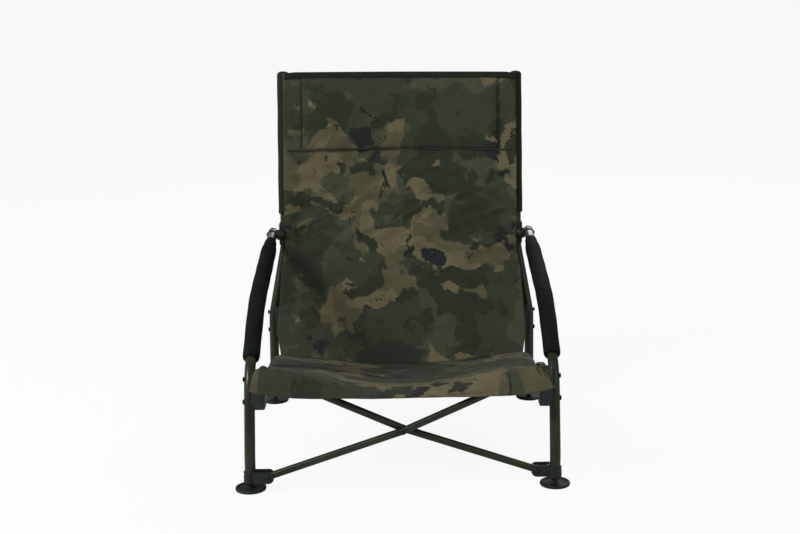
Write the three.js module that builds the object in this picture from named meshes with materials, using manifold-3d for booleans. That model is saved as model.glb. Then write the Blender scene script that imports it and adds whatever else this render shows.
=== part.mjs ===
// Low folding chair: two bent-tube side frames, joined by a scissor pair of kinked cross bars at the
// front and another at the rear, with a cloth seat hung from the cross bars' upper ends and a cloth
// back between the uprights. Millimetres, +Z up, the sitter faces -Y, X is across the chair.
import * as THREE from 'three';
import { mergeVertices } from 'three/addons/utils/BufferGeometryUtils.js';
import Module from 'manifold-3d';

const wasm = await Module();
wasm.setup();

// Driving sizes of the frame
const frame_half_width = 268;      // leg centre from the chair's middle
const foot_depth = 500;            // front foot centre to rear foot centre
const seat_front_height = 214;     // upper pivots above the floor
const chair_height = 672;          // top of the uprights
const back_half_width = 243;       // upright centre from the middle, beside the back
const frame_tube_radius = 9.5;
const frame_tube_wall = 1.5;
const bar_radius = 6.5;
const bar_wall = 1.2;
const seat_clearance = 0.3;        // pieces that touch
const cut_overrun = 2;

// Places along the side frame, measured back from the front foot and up from the floor
const tube_bottom = 26.3;
const leg_straight_top = 58;
const leg_top_back = 34;
const leg_top_height = 196;
const arm_knee_back = 190;
const arm_knee_height = 290;
const arm_end_ahead = 2.2;         // of the upright's centre line
const arm_end_height = 352;
const leg_foot_bend = 60;
const leg_top_bend = 80;
const arm_bend = 320;
const upright_low_back = 514;
const upright_low_height = 185;
const upright_waist_back = 545;
const waist_below_arm = 27;
const upright_top_back = 612;
const upright_bend = 110;

// Cross bars
const lower_pivot_inset = 32;      // from the leg's centre
const lower_pivot_height = 26;
const upper_pivot_inset = 27;
const crossing_height = 106;
const bar_plane_offset = bar_radius + seat_clearance;
const bar_eye_radius = 8;
const pivot_pin_radius = 2.5;
const pin_clearance = 0.3;
const pin_head_radius = 5;
const pin_head_height = 2.2;

// Feet and foot hubs
const foot_radius = 27;
const foot_thickness = 5.5;
const foot_rim = 1.6;
const foot_lip_width = 4.8;          // raised rim of the disc
const foot_web_radius = 7;
const ball_height = 15.5;
const ball_radius = 6;
const ball_clearance = 0.7;
const stem_radius = 3.4;
const hub_radius = 13;
const hub_bottom = 11.5;
const hub_top = 52;
const ear_thickness = 4;
const ear_radius = 10.5;

// Corner blocks, arm brackets and caps
const block_inner_reach = 37;      // from the leg's centre
const block_bottom = 140;
const block_top = 203;
const block_depth = 26;
const block_lip = 3;
const rivet_radius = 2.4;
const rivet_head_radius = 4.6;
const rivet_head_height = 2.4;
const runner_size = 16;
const bracket_height = 46;
const bracket_wall = 3.2;
const cap_length = 9;
const cap_stem = 5;

// Foam and cloth
const pad_radius = 17.5;
const pad_start_share = 0.27;      // of the arm tube's length, from its foot
const pad_end_share = 0.95;
const cloth_thickness = 4;
const sleeve_radius = 12.2;
const sleeve_gap = 3;              // above the arm bracket
const seat_edge_height = 236;
const seat_rear_height = 124;
const seat_front_sag = 48;
const seat_rear_sag = 22;
const seat_front_edge = 22;        // ahead of the front feet's centres
const crease_back = 415;
const lower_back_top = 312;
const lower_back_top_back = 531;
const front_hem_drop = 15;
const front_hem_side_drop = 23;
const back_bottom_height = 306;
const back_belly = 16;
const pillow_height = 128;
const pillow_half_width = 185;
const pillow_thickness = 11;
const pillow_back_gap = 0.9;       // from the back's curved cloth
const strap_width = 14;
const strap_thickness = 2;
const strap_gap = 0.5;             // from the bellied cloth

// Small sizes of the plugs, bosses and rivets
const rivet_inset = 13;
const weld_depth = 0.1;
const weld_distance = 0.0001;
const block_cradle_gap = 4;
const hub_chamfer = 2;
const fork_root = 4;
const foot_sides = 20;
const bar_bend = 60;
const bar_plug_length = 12;
const arm_pin_radius = 3;
const arm_pin_inset = 12;
const boss_radius = 11;
const boss_bore_reach = 17;
const bracket_reach = 12;
const bracket_depth = 26;
const cap_shoulder_share = 0.8;
const cap_rise_share = 0.85;
const runner_chamfer = 2.5;
const hem_share = 0.1;
const crease_share = 0.65;
const hem_round = 8;
const sag_power = 1.5;
const seat_belly = 6;
const lower_back_belly = 10;
const back_top_gap = 4;
const pillow_fill_share = 0.97;
const strap_foot_share = 0.05;      // up the lower back, from the crease
const pad_seat_gap = 2.5;          // between the seat's edge and the arm pad
const lower_back_taper_share = 0.85;
const seat_u_steps = 12;
const seat_v_steps = 20;
const back_u_steps = 10;
const back_v_steps = 10;
const pillow_u_steps = 8;
const pillow_v_steps = 4;

const tube_sides = 12;
const round_sides = 16;
const pin_sides = 8;
const ball_sides = 10;
const chair = new THREE.Group();

const finish = {
  olive_tube: { color: 0x4a4f38, roughness: 0.45, metalness: 0.6 },
  grey_plastic: { color: 0x3b4143, roughness: 0.55, metalness: 0 },
  dark_plastic: { color: 0x1d2120, roughness: 0.6, metalness: 0 },
  rubber: { color: 0x1c201d, roughness: 0.8, metalness: 0 },
  foam: { color: 0x222624, roughness: 0.95, metalness: 0 },
  bare_steel: { color: 0x8b8d86, roughness: 0.35, metalness: 0.9 },
  camouflage: { color: 0x3f4430, roughness: 0.9, metalness: 0 },
};

// Puts one solid into the chair under its name
function add(name, geometry, finish_name) {
  const mesh = new THREE.Mesh(geometry, new THREE.MeshStandardMaterial(finish[finish_name]));
  mesh.name = name;
  chair.add(mesh);
  return mesh;
}

// Booleans: three.js geometry to a solid and back
function solid(geometry) {
  const bare = geometry.clone();
  bare.deleteAttribute('normal');
  bare.deleteAttribute('uv');
  const merged = mergeVertices(bare, weld_distance);
  const mesh = new wasm.Mesh({
    numProp: 3,
    vertProperties: new Float32Array(merged.attributes.position.array),
    triVerts: new Uint32Array(merged.index.array),
  });
  return new wasm.Manifold(mesh);
}

function geometry_of(body) {
  const mesh = body.getMesh();
  const geometry = new THREE.BufferGeometry();
  geometry.setAttribute('position', new THREE.BufferAttribute(new Float32Array(mesh.vertProperties), 3));
  geometry.setIndex(Array.from(mesh.triVerts));
  geometry.computeVertexNormals();
  return geometry;
}

// A path through chosen knots, so that a tube has a ring at each knot and nowhere else
class KnotPath extends THREE.Curve {
  constructor(knots) {
    super();
    this.knots = knots;
  }
  getPoint(u, target = new THREE.Vector3()) {
    const last = this.knots.length - 1;
    const place = Math.min(Math.max(u, 0), 1) * last;
    const low = Math.min(Math.floor(place), last - 1);
    return target.copy(this.knots[low]).lerp(this.knots[low + 1], place - low);
  }
  getPointAt(u, target) {
    return this.getPoint(u, target);
  }
  getTangentAt(u, target = new THREE.Vector3()) {
    const last = this.knots.length - 1;
    const place = Math.round(u * last);
    const before = this.knots[Math.max(place - 1, 0)];
    const here = this.knots[place];
    const after = this.knots[Math.min(place + 1, last)];
    const ahead = place < last ? after.clone().sub(here).normalize() : here.clone().sub(before).normalize();
    const behind = place > 0 ? here.clone().sub(before).normalize() : ahead;
    return target.copy(ahead).add(behind).normalize();
  }
}

// Knots of a bent tube: straight runs between corners, each corner rounded to its bend radius
function bent_knots(corners, bends, arc_steps) {
  const knots = [corners[0]];
  for (let i = 1; i < corners.length - 1; i += 1) {
    const into = corners[i].clone().sub(corners[i - 1]).normalize();
    const out = corners[i + 1].clone().sub(corners[i]).normalize();
    const turn = into.angleTo(out);
    const reach = bends[i - 1] * Math.tan(turn / 2);
    const centre_way = out.clone().sub(into).normalize();
    const centre = corners[i].clone().addScaledVector(centre_way, bends[i - 1] / Math.cos(turn / 2));
    const first = corners[i].clone().addScaledVector(into, -reach).sub(centre);
    const axis = into.clone().cross(out).normalize();
    for (let k = 0; k <= arc_steps[i - 1]; k += 1) {
      knots.push(first.clone().applyAxisAngle(axis, (turn * k) / arc_steps[i - 1]).add(centre));
    }
  }
  knots.push(corners[corners.length - 1]);
  return knots;
}

function circle_points(radius, sides) {
  const points = [];
  for (let i = 0; i < sides; i += 1) {
    const angle = (2 * Math.PI * i) / sides;
    points.push(new THREE.Vector2(radius * Math.cos(angle), radius * Math.sin(angle)));
  }
  return points;
}

// A hollow tube along knots; no bore where the inner radius is zero
function tube(knots, outer, inner, sides = tube_sides) {
  const section = new THREE.Shape(circle_points(outer, sides));
  if (inner > 0) {
    section.holes.push(new THREE.Path(circle_points(inner, sides).reverse()));
  }
  return new THREE.ExtrudeGeometry(section, {
    steps: knots.length - 1,
    bevelEnabled: false,
    extrudePath: new KnotPath(knots),
  });
}

// The stretch of a knot list between two shares of its length
function stretch(knots, from_share, to_share) {
  const reach = [0];
  for (let i = 1; i < knots.length; i += 1) {
    reach.push(reach[i - 1] + knots[i].distanceTo(knots[i - 1]));
  }
  const total = reach[reach.length - 1];
  const point_at = (share) => {
    const wanted = share * total;
    let i = 1;
    while (i < knots.length - 1 && reach[i] < wanted) i += 1;
    return knots[i - 1].clone().lerp(knots[i], (wanted - reach[i - 1]) / (reach[i] - reach[i - 1]));
  };
  const between = knots.filter((_, i) => reach[i] > from_share * total + frame_tube_wall
    && reach[i] < to_share * total - frame_tube_wall);
  return [point_at(from_share), ...between, point_at(to_share)];
}

// A round solid from its half outline, turned about Z
function turned(outline, sides = round_sides) {
  return new THREE.LatheGeometry(outline.map(([r, z]) => new THREE.Vector2(r, z)), sides)
    .rotateX(Math.PI / 2);
}

// A cylinder from one point to another
function rod(from, to, radius, sides = pin_sides) {
  const along = to.clone().sub(from);
  const geometry = new THREE.CylinderGeometry(radius, radius, along.length(), sides);
  geometry.applyQuaternion(new THREE.Quaternion().setFromUnitVectors(
    new THREE.Vector3(0, 1, 0), along.clone().normalize()));
  const middle = from.clone().add(to).multiplyScalar(1 / 2);
  return geometry.translate(middle.x, middle.y, middle.z);
}

function block(low, high) {
  const size = high.clone().sub(low);
  const middle = low.clone().add(high).multiplyScalar(1 / 2);
  return new THREE.BoxGeometry(size.x, size.y, size.z).translate(middle.x, middle.y, middle.z);
}

const at = (x, y, z) => new THREE.Vector3(x, y, z);
const mix = (a, b, share) => a + (b - a) * share;
const side_name = (side) => (side < 0 ? 'left' : 'right');
const lower_pivot_x = frame_half_width - lower_pivot_inset;
const upper_pivot_x = frame_half_width - upper_pivot_inset;
const crossing_rise = crossing_height - lower_pivot_height;
const upper_pivot_height = seat_front_height;
const upright_waist_height = arm_end_height - waist_below_arm;
const arm_end_back = mix(upright_waist_back, upright_top_back,
  waist_below_arm / (chair_height - upright_waist_height)) - arm_end_ahead;

// Turns a closed geometry the right way out
function facing_out(geometry) {
  const merged = solid_mesh(geometry);
  const place = merged.attributes.position;
  const corner = [0, 1, 2].map(() => new THREE.Vector3());
  let volume = 0;
  for (let i = 0; i < merged.index.count; i += 3) {
    corner.forEach((c, k) => c.fromBufferAttribute(place, merged.index.array[i + k]));
    volume += corner[0].dot(corner[1].clone().cross(corner[2]));
  }
  if (volume < 0) {
    for (let i = 0; i < merged.index.count; i += 3) {
      const keep = merged.index.array[i];
      merged.index.array[i] = merged.index.array[i + 1];
      merged.index.array[i + 1] = keep;
    }
  }
  merged.computeVertexNormals();
  return merged;
}

function solid_mesh(geometry) {
  const bare = geometry.clone();
  bare.deleteAttribute('normal');
  bare.deleteAttribute('uv');
  return mergeVertices(bare, weld_distance);
}

// Cloth as a closed solid: a grid surface(u, v) given half its thickness on both sides, its side
// edges cut plumb
function cloth(surface, u_steps, v_steps, thickness) {
  const columns = u_steps + 1;
  const rows = v_steps + 1;
  const layer = columns * rows;
  const step_share = 0.001;
  const points = [];
  for (const way of [1, -1]) {
    for (let j = 0; j < rows; j += 1) {
      for (let i = 0; i < columns; i += 1) {
        const u = (2 * i) / u_steps - 1;
        const v = j / v_steps;
        const here = surface(u, v);
        const across = surface(u + step_share, v).sub(surface(u - step_share, v));
        const along = surface(u, Math.min(v + step_share, 1)).sub(surface(u, Math.max(v - step_share, 0)));
        const normal = across.cross(along);
        if (i === 0 || i === u_steps) normal.x = 0;
        here.addScaledVector(normal.normalize(), (way * thickness) / 2);
        points.push(here.x, here.y, here.z);
      }
    }
  }
  const faces = [];
  const quad = (a, b, c, d) => faces.push(a, b, c, a, c, d);
  for (let j = 0; j < v_steps; j += 1) {
    for (let i = 0; i < u_steps; i += 1) {
      const a = j * columns + i;
      quad(a, a + 1, a + 1 + columns, a + columns);
      quad(layer + a, layer + a + columns, layer + a + 1 + columns, layer + a + 1);
    }
    const left = j * columns;
    const right = left + u_steps;
    quad(left, left + columns, layer + left + columns, layer + left);
    quad(right, layer + right, layer + right + columns, right + columns);
  }
  for (let i = 0; i < u_steps; i += 1) {
    const top = v_steps * columns + i;
    quad(i, layer + i, layer + i + 1, i + 1);
    quad(top, top + 1, layer + top + 1, layer + top);
  }
  const geometry = new THREE.BufferGeometry();
  geometry.setAttribute('position', new THREE.BufferAttribute(new Float32Array(points), 3));
  geometry.setIndex(faces);
  return facing_out(geometry);
}

// Places along a side frame
const arm_knots = (side) => bent_knots([
  at(side * frame_half_width, 0, tube_bottom),
  at(side * frame_half_width, 0, leg_straight_top),
  at(side * frame_half_width, leg_top_back, leg_top_height),
  at(side * frame_half_width, arm_knee_back, arm_knee_height),
  at(side * frame_half_width, arm_end_back, arm_end_height),
], [leg_foot_bend, leg_top_bend, arm_bend], [2, 4, 4]);

const upright_knots = (side) => bent_knots([
  at(side * frame_half_width, foot_depth, tube_bottom),
  at(side * frame_half_width, foot_depth, leg_straight_top),
  at(side * frame_half_width, upright_low_back, upright_low_height),
  at(side * back_half_width, upright_waist_back, upright_waist_height),
  at(side * back_half_width, upright_top_back, chair_height),
], [leg_foot_bend, upright_bend, upright_bend], [2, 3, 3]);

// The knot path's point at a height
function at_height(knots, height) {
  let i = 1;
  while (i < knots.length - 1 && knots[i].z < height) i += 1;
  const share = (height - knots[i - 1].z) / (knots[i].z - knots[i - 1].z);
  return knots[i - 1].clone().lerp(knots[i], share);
}

// The knots of a path from one height to another
function between_heights(knots, low, high) {
  const inside = knots.filter((k) => k.z > low + frame_tube_wall && k.z < high - frame_tube_wall);
  return [at_height(knots, low), ...inside, at_height(knots, high)];
}

const rivet_heights = [block_bottom + rivet_inset, block_top - rivet_inset];

// A shank along X with a round head at its outer end
function headed_pin(side, inner_x, outer_x, y, z, radius, head_radius, head_height) {
  const shank = solid(rod(at(side * inner_x, y, z), at(side * outer_x, y, z), radius));
  const head = solid(rod(at(side * (outer_x - weld_depth), y, z), at(side * (outer_x + head_height), y, z),
    head_radius));
  return geometry_of(shank.add(head));
}

// The moulded block that cradles a leg under a seat corner, held by two rivets through the leg
function corner_block(side, knots, name) {
  const middle = at_height(knots, (block_bottom + block_top) / 2);
  const inner = frame_half_width - block_inner_reach;
  const outer = frame_half_width - block_cradle_gap;
  const back = middle.y + block_depth / 2;
  const outline = new THREE.Shape([
    new THREE.Vector2(inner, block_bottom + block_lip),
    new THREE.Vector2(inner + block_lip, block_bottom),
    new THREE.Vector2(outer, block_bottom),
    new THREE.Vector2(outer, block_top),
    new THREE.Vector2(inner + block_lip, block_top),
    new THREE.Vector2(inner, block_top - block_lip),
  ]);
  const body = new THREE.ExtrudeGeometry(outline, { depth: block_depth, bevelEnabled: false });
  body.rotateX(Math.PI / 2).translate(0, back, 0);
  if (side < 0) body.applyMatrix4(new THREE.Matrix4().makeRotationZ(Math.PI)).translate(0, 2 * middle.y, 0);
  let shape = solid(facing_out(body));
  shape = shape.subtract(solid(tube(between_heights(knots, block_bottom - frame_tube_radius,
    block_top + frame_tube_radius), frame_tube_radius + seat_clearance, 0)));
  for (const height of rivet_heights) {
    const y = at_height(knots, height).y;
    shape = shape.subtract(solid(rod(at(side * (inner - cut_overrun), y, height),
      at(side * (frame_half_width + cut_overrun), y, height), rivet_radius + pin_clearance)));
  }
  add(`${side_name(side)}_${name}_corner_block`, geometry_of(shape), 'grey_plastic');
  rivet_heights.forEach((height, i) => {
    add(`${side_name(side)}_${name}_block_rivet_${i + 1}`, headed_pin(side, inner + block_lip,
      frame_half_width + frame_tube_radius + seat_clearance, at_height(knots, height).y, height,
      rivet_radius, rivet_head_radius, rivet_head_height), 'bare_steel');
  });
}

// A leg tube with its rivet holes, and a pin hole where the arm is pinned
function frame_tube(side, knots, name, pin_y, pin_z) {
  let shape = solid(tube(knots, frame_tube_radius, frame_tube_radius - frame_tube_wall));
  const reach = frame_tube_radius + cut_overrun;
  for (const height of rivet_heights) {
    const y = at_height(knots, height).y;
    shape = shape.subtract(solid(rod(at(side * (frame_half_width - reach), y, height),
      at(side * (frame_half_width + reach), y, height), rivet_radius + pin_clearance)));
  }
  if (pin_y) {
    shape = shape.subtract(solid(rod(at(side * (frame_half_width - reach), pin_y, pin_z),
      at(side * (frame_half_width + reach), pin_y, pin_z), arm_pin_radius + pin_clearance)));
  }
  add(`${side_name(side)}_${name}`, geometry_of(shape), 'olive_tube');
}

// The foot hub: socket for the leg, cup for the foot's ball and a fork for the cross bar's eye
function foot_hub(side, y, name) {
  const x = side * frame_half_width;
  const plane = y + side * bar_plane_offset;
  let shape = solid(facing_out(turned([
    [0, hub_bottom], [hub_radius - hub_chamfer, hub_bottom], [hub_radius, hub_bottom + hub_chamfer],
    [hub_radius, hub_top - hub_chamfer], [hub_radius - hub_chamfer, hub_top], [0, hub_top],
  ]).translate(x, y, 0)));
  const pivot_x = side * lower_pivot_x;
  const ear_offset = bar_radius + seat_clearance + ear_thickness / 2;
  for (const way of [1, -1]) {
    const low = plane + way * ear_offset - ear_thickness / 2;
    const high = low + ear_thickness;
    const round = solid(rod(at(pivot_x, low, lower_pivot_height), at(pivot_x, high, lower_pivot_height),
      ear_radius, round_sides));
    const web_end = x - side * (hub_radius / 2);
    const web = solid(block(
      at(Math.min(pivot_x, web_end), low, lower_pivot_height - ear_radius),
      at(Math.max(pivot_x, web_end), high, lower_pivot_height + ear_radius)));
    shape = shape.add(round).add(web);
  }
  const root_near = x - side * (hub_radius + fork_root);
  const root_far = x - side * (hub_radius / 2);
  const fork_half = ear_offset + ear_thickness / 2;
  shape = shape.add(solid(block(
    at(Math.min(root_near, root_far), plane - fork_half, lower_pivot_height - ear_radius),
    at(Math.max(root_near, root_far), plane + fork_half, lower_pivot_height + ear_radius))));
  shape = shape.subtract(solid(rod(at(x, y, tube_bottom - seat_clearance), at(x, y, hub_top + cut_overrun),
    frame_tube_radius + seat_clearance, round_sides)));
  shape = shape.subtract(solid(new THREE.SphereGeometry(ball_radius + ball_clearance, ball_sides, ball_sides / 2)
    .rotateX(Math.PI / 2).translate(x, y, ball_height)));
  shape = shape.subtract(solid(rod(at(pivot_x, plane - fork_half - cut_overrun, lower_pivot_height),
    at(pivot_x, plane + fork_half + cut_overrun, lower_pivot_height), pivot_pin_radius + pin_clearance)));
  add(`${side_name(side)}_${name}_foot_hub`, geometry_of(shape), 'dark_plastic');

  const outline = [
    [0, 0], [foot_radius - foot_rim, 0], [foot_radius, foot_rim], [foot_radius, foot_thickness - foot_rim],
    [foot_radius - foot_rim, foot_thickness], [foot_radius - foot_lip_width, foot_thickness],
    [foot_radius - foot_lip_width - foot_rim, foot_thickness - foot_rim], [foot_web_radius, foot_thickness - foot_rim],
    [stem_radius, foot_thickness + foot_rim], [stem_radius, ball_height - ball_radius / 2],
    [0, ball_height - ball_radius / 2],
  ];
  const foot = solid(facing_out(turned(outline, foot_sides).translate(x, y, 0)));
  const ball = solid(new THREE.SphereGeometry(ball_radius, ball_sides, ball_sides / 2)
    .rotateX(Math.PI / 2).translate(x, y, ball_height));
  add(`${side_name(side)}_${name}_mud_foot`, geometry_of(foot.add(ball)), 'rubber');
}

// A cross bar, kinked where it meets its partner: low end at one side, high end at the other
function cross_bar(low_side, y, name) {
  const plane = y + low_side * bar_plane_offset;
  const low = at(low_side * lower_pivot_x, plane, lower_pivot_height);
  const middle = at(0, plane, crossing_height);
  const high = at(-low_side * upper_pivot_x, plane, upper_pivot_height);
  const low_end = low.clone().lerp(middle, bar_eye_radius / 2 / low.distanceTo(middle));
  const high_end = high.clone().lerp(middle, bar_eye_radius / 2 / high.distanceTo(middle));
  let shape = solid(tube(bent_knots([low_end, middle, high_end], [bar_bend], [2]), bar_radius, 0));
  for (const end of [low, high]) {
    shape = shape.add(solid(rod(end.clone().add(at(0, -bar_radius, 0)), end.clone().add(at(0, bar_radius, 0)),
      bar_eye_radius, round_sides)));
  }
  for (const end of [low_end, high_end]) {
    const start = end.clone().lerp(middle, bar_plug_length / end.distanceTo(middle));
    shape = shape.subtract(solid(rod(start, middle, bar_radius - bar_wall)));
  }
  for (const place of [low, middle, high]) {
    shape = shape.subtract(solid(rod(place.clone().add(at(0, -bar_radius - cut_overrun, 0)),
      place.clone().add(at(0, bar_radius + cut_overrun, 0)), pivot_pin_radius + pin_clearance)));
  }
  add(name, geometry_of(shape), 'olive_tube');
}

// A pin along Y with a flat head at both ends
function pivot_pin(name, x, low_y, high_y, z) {
  const shape = solid(rod(at(x, low_y, z), at(x, high_y, z), pivot_pin_radius))
    .add(solid(rod(at(x, low_y - pin_head_height, z), at(x, low_y + weld_depth, z), pin_head_radius)))
    .add(solid(rod(at(x, high_y - weld_depth, z), at(x, high_y + pin_head_height, z), pin_head_radius)));
  add(name, geometry_of(shape), 'bare_steel');
}

// A plug cap in the open end of a frame tube
function end_cap(name, end, outward) {
  const stem = frame_tube_radius - frame_tube_wall - seat_clearance;
  const cap = turned([
    [0, -cap_stem], [stem, -cap_stem], [stem, seat_clearance], [frame_tube_radius, seat_clearance],
    [frame_tube_radius, cap_length / 2], [frame_tube_radius * cap_shoulder_share, cap_length * cap_rise_share],
    [0, cap_length],
  ], tube_sides);
  cap.applyQuaternion(new THREE.Quaternion().setFromUnitVectors(at(0, 0, 1), outward));
  add(name, facing_out(cap.translate(end.x, end.y, end.z)), 'dark_plastic');
}

// The arm's rear bracket: a collar round the upright with a boss that the arm is pinned to
function arm_bracket(side, pin_y, pin_z) {
  const knots = upright_knots(side);
  const middle = at_height(knots, pin_z);
  const inner = back_half_width - bracket_reach;
  const outer = back_half_width + frame_tube_radius + bracket_wall / 2;
  let shape = solid(block(
    at(Math.min(side * inner, side * outer), middle.y - bracket_depth / 2, pin_z - bracket_height / 2),
    at(Math.max(side * inner, side * outer), middle.y + bracket_depth / 2, pin_z + bracket_height / 2)));
  shape = shape.add(solid(rod(at(side * back_half_width, pin_y, pin_z),
    at(side * (frame_half_width - frame_tube_radius - seat_clearance), pin_y, pin_z), boss_radius, round_sides)));
  shape = shape.subtract(solid(tube(between_heights(knots, pin_z - bracket_height, pin_z + bracket_height),
    frame_tube_radius + seat_clearance, 0)));
  shape = shape.subtract(solid(rod(at(side * (frame_half_width - boss_bore_reach), pin_y, pin_z),
    at(side * frame_half_width, pin_y, pin_z), arm_pin_radius + pin_clearance)));
  add(`${side_name(side)}_arm_bracket`, geometry_of(shape), 'dark_plastic');
  add(`${side_name(side)}_arm_pin`, headed_pin(side, frame_half_width - boss_bore_reach + pin_clearance,
    frame_half_width + frame_tube_radius + seat_clearance, pin_y, pin_z, arm_pin_radius,
    rivet_head_radius, rivet_head_height), 'bare_steel');
}

// The block pinned to a cross bar's upper end, which carries a corner of the seat
function seat_hanger(side, y, name) {
  const x = side * upper_pivot_x;
  const half = runner_size / 2;
  const outline = new THREE.Shape([
    new THREE.Vector2(-half + runner_chamfer, -half), new THREE.Vector2(half - runner_chamfer, -half),
    new THREE.Vector2(half, -half + runner_chamfer), new THREE.Vector2(half, half - runner_chamfer),
    new THREE.Vector2(half - runner_chamfer, half), new THREE.Vector2(-half + runner_chamfer, half),
    new THREE.Vector2(-half, half - runner_chamfer), new THREE.Vector2(-half, -half + runner_chamfer),
  ]);
  const depth = 2 * bar_radius + seat_clearance;
  const near = y + (side > 0 ? 0 : -depth);
  const body = new THREE.ExtrudeGeometry(outline, { depth, bevelEnabled: false });
  body.rotateX(Math.PI / 2).translate(x, near + depth, upper_pivot_height);
  const shape = solid(facing_out(body)).subtract(solid(rod(at(x, near - cut_overrun, upper_pivot_height),
    at(x, near + depth + cut_overrun, upper_pivot_height), pivot_pin_radius + pin_clearance)));
  add(`${side_name(side)}_${name}_seat_hanger`, geometry_of(shape), 'grey_plastic');
  const reach = 2 * bar_radius + 2 * seat_clearance;
  pivot_pin(`${side_name(side)}_${name}_hanger_pin`, x, y - reach, y + reach, upper_pivot_height);
}

const seat_half_width = frame_half_width - pad_radius - pad_seat_gap;
const lower_back_top_half_width = back_half_width - sleeve_radius - seat_clearance;

// The seat's cloth: front hem, seat with its sag, crease, and the lower back
function seat_surface(u, v) {
  const sag_share = (1 - Math.min(u * u, 1)) ** sag_power;
  const taper = Math.max(0, (v - lower_back_taper_share) / (1 - lower_back_taper_share));
  const x = u * mix(seat_half_width, lower_back_top_half_width, taper);
  const front_z = seat_edge_height - seat_front_sag * sag_share;
  if (v < hem_share) {
    const down = 1 - v / hem_share;
    return at(x, -seat_front_edge + hem_round * (1 - down) ** 3,
      front_z - (front_hem_drop + front_hem_side_drop * u * u) * down - hem_round * down ** 2 / 2);
  }
  if (v < crease_share) {
    const share = (v - hem_share) / (crease_share - hem_share);
    const sag = mix(seat_front_sag, seat_rear_sag, share) + seat_belly * Math.sin(Math.PI * share);
    return at(x, mix(-seat_front_edge + hem_round, crease_back, share),
      mix(seat_edge_height, seat_rear_height, share) - sag * sag_share);
  }
  const share = (v - crease_share) / (1 - crease_share);
  return at(x, mix(crease_back, lower_back_top_back, share) + lower_back_belly * Math.sin(Math.PI * share) * sag_share,
    mix(seat_rear_height - seat_rear_sag * sag_share, lower_back_top, share));
}

// The upper back's cloth, hung between the uprights
function back_surface(u, v) {
  const height = mix(back_bottom_height, chair_height - back_top_gap, v);
  const line = at_height(upright_knots(1), height);
  const belly = back_belly * (1 - u * u) * Math.sin(Math.PI * v);
  return at(u * (back_half_width - sleeve_radius - seat_clearance), line.y + belly, height);
}

function pillow_surface(u, v) {
  const share = mix(1 - pillow_height / (chair_height - back_top_gap - back_bottom_height), 1, v * pillow_fill_share);
  const half_width = back_half_width - sleeve_radius - seat_clearance;
  const base = back_surface((u * pillow_half_width) / half_width, share);
  base.y -= cloth_thickness / 2 + pillow_back_gap + pillow_thickness / 2;
  return base;
}

// A webbing strap from a rear hanger down to the seat's rear corner
function strap_surface(side) {
  const inner_edge = (upper_pivot_x - strap_width / 2) / seat_half_width;
  const crease = seat_surface(inner_edge, crease_share);
  const rise = seat_surface(inner_edge, 1).sub(crease).setX(0);
  const behind = at(0, rise.z, -rise.y).normalize();
  const foot = crease.addScaledVector(rise, strap_foot_share)
    .addScaledVector(behind, (cloth_thickness + strap_thickness) / 2 + strap_gap);
  const top_back = foot_depth - bar_plane_offset - bar_radius - seat_clearance - strap_thickness / 2;
  const top_height = upper_pivot_height - pin_head_radius - seat_clearance - strap_thickness;
  return (u, v) => at(side * (upper_pivot_x + (strap_width / 2) * u), mix(foot.y, top_back, v),
    mix(foot.z, top_height, v));
}

for (const side of [-1, 1]) {
  const arm = arm_knots(side);
  const arm_end = arm[arm.length - 1];
  const arm_way = arm_end.clone().sub(arm[arm.length - 2]).normalize();
  const pin = arm_end.clone().addScaledVector(arm_way, -arm_pin_inset);
  const upright = upright_knots(side);
  const upright_end = upright[upright.length - 1];
  const upright_way = upright_end.clone().sub(upright[upright.length - 2]).normalize();
  frame_tube(side, arm, 'arm_and_front_leg', pin.y, pin.z);
  frame_tube(side, upright, 'upright_and_rear_leg');
  const pad_knots = stretch(arm, pad_start_share, pad_end_share);
  add(`${side_name(side)}_arm_pad`, facing_out(tube(pad_knots, pad_radius, frame_tube_radius + seat_clearance)),
    'foam');
  end_cap(`${side_name(side)}_arm_cap`, arm_end, arm_way);
  end_cap(`${side_name(side)}_upright_cap`, upright_end, upright_way);
  arm_bracket(side, pin.y, pin.z);
  corner_block(side, arm, 'front');
  corner_block(side, upright, 'rear');
  foot_hub(side, 0, 'front');
  foot_hub(side, foot_depth, 'rear');
  seat_hanger(side, 0, 'front');
  seat_hanger(side, foot_depth, 'rear');
  for (const [y, name] of [[0, 'front'], [foot_depth, 'rear']]) {
    const plane = y + side * bar_plane_offset;
    const reach = bar_radius + seat_clearance + ear_thickness + seat_clearance;
    pivot_pin(`${side_name(side)}_${name}_lower_pin`, side * lower_pivot_x, plane - reach, plane + reach,
      lower_pivot_height);
  }
  add(`${side_name(side)}_back_sleeve`, facing_out(tube(between_heights(upright, pin.z + bracket_height / 2
    + sleeve_gap, chair_height - cloth_thickness), sleeve_radius, frame_tube_radius + seat_clearance)),
  'camouflage');
  add(`${side_name(side)}_seat_strap`, cloth(strap_surface(side), 1, 1, strap_thickness), 'camouflage');
}

for (const [y, name] of [[0, 'front'], [foot_depth, 'rear']]) {
  cross_bar(-1, y, `${name}_cross_bar_a`);
  cross_bar(1, y, `${name}_cross_bar_b`);
  const reach = 2 * bar_radius + 3 * seat_clearance;
  pivot_pin(`${name}_crossing_pin`, 0, y - reach, y + reach, crossing_height);
}
add('seat_sling', cloth(seat_surface, seat_u_steps, seat_v_steps, cloth_thickness), 'camouflage');
add('back_panel', cloth(back_surface, back_u_steps, back_v_steps, cloth_thickness), 'camouflage');
add('head_pocket', cloth(pillow_surface, pillow_u_steps, pillow_v_steps, pillow_thickness), 'camouflage');

// The origin is the middle of the chair's outline, at the floor
const outline_box = new THREE.Box3().setFromObject(chair);
chair.position.y = -(outline_box.min.y + outline_box.max.y) / 2;

export default chair;
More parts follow.
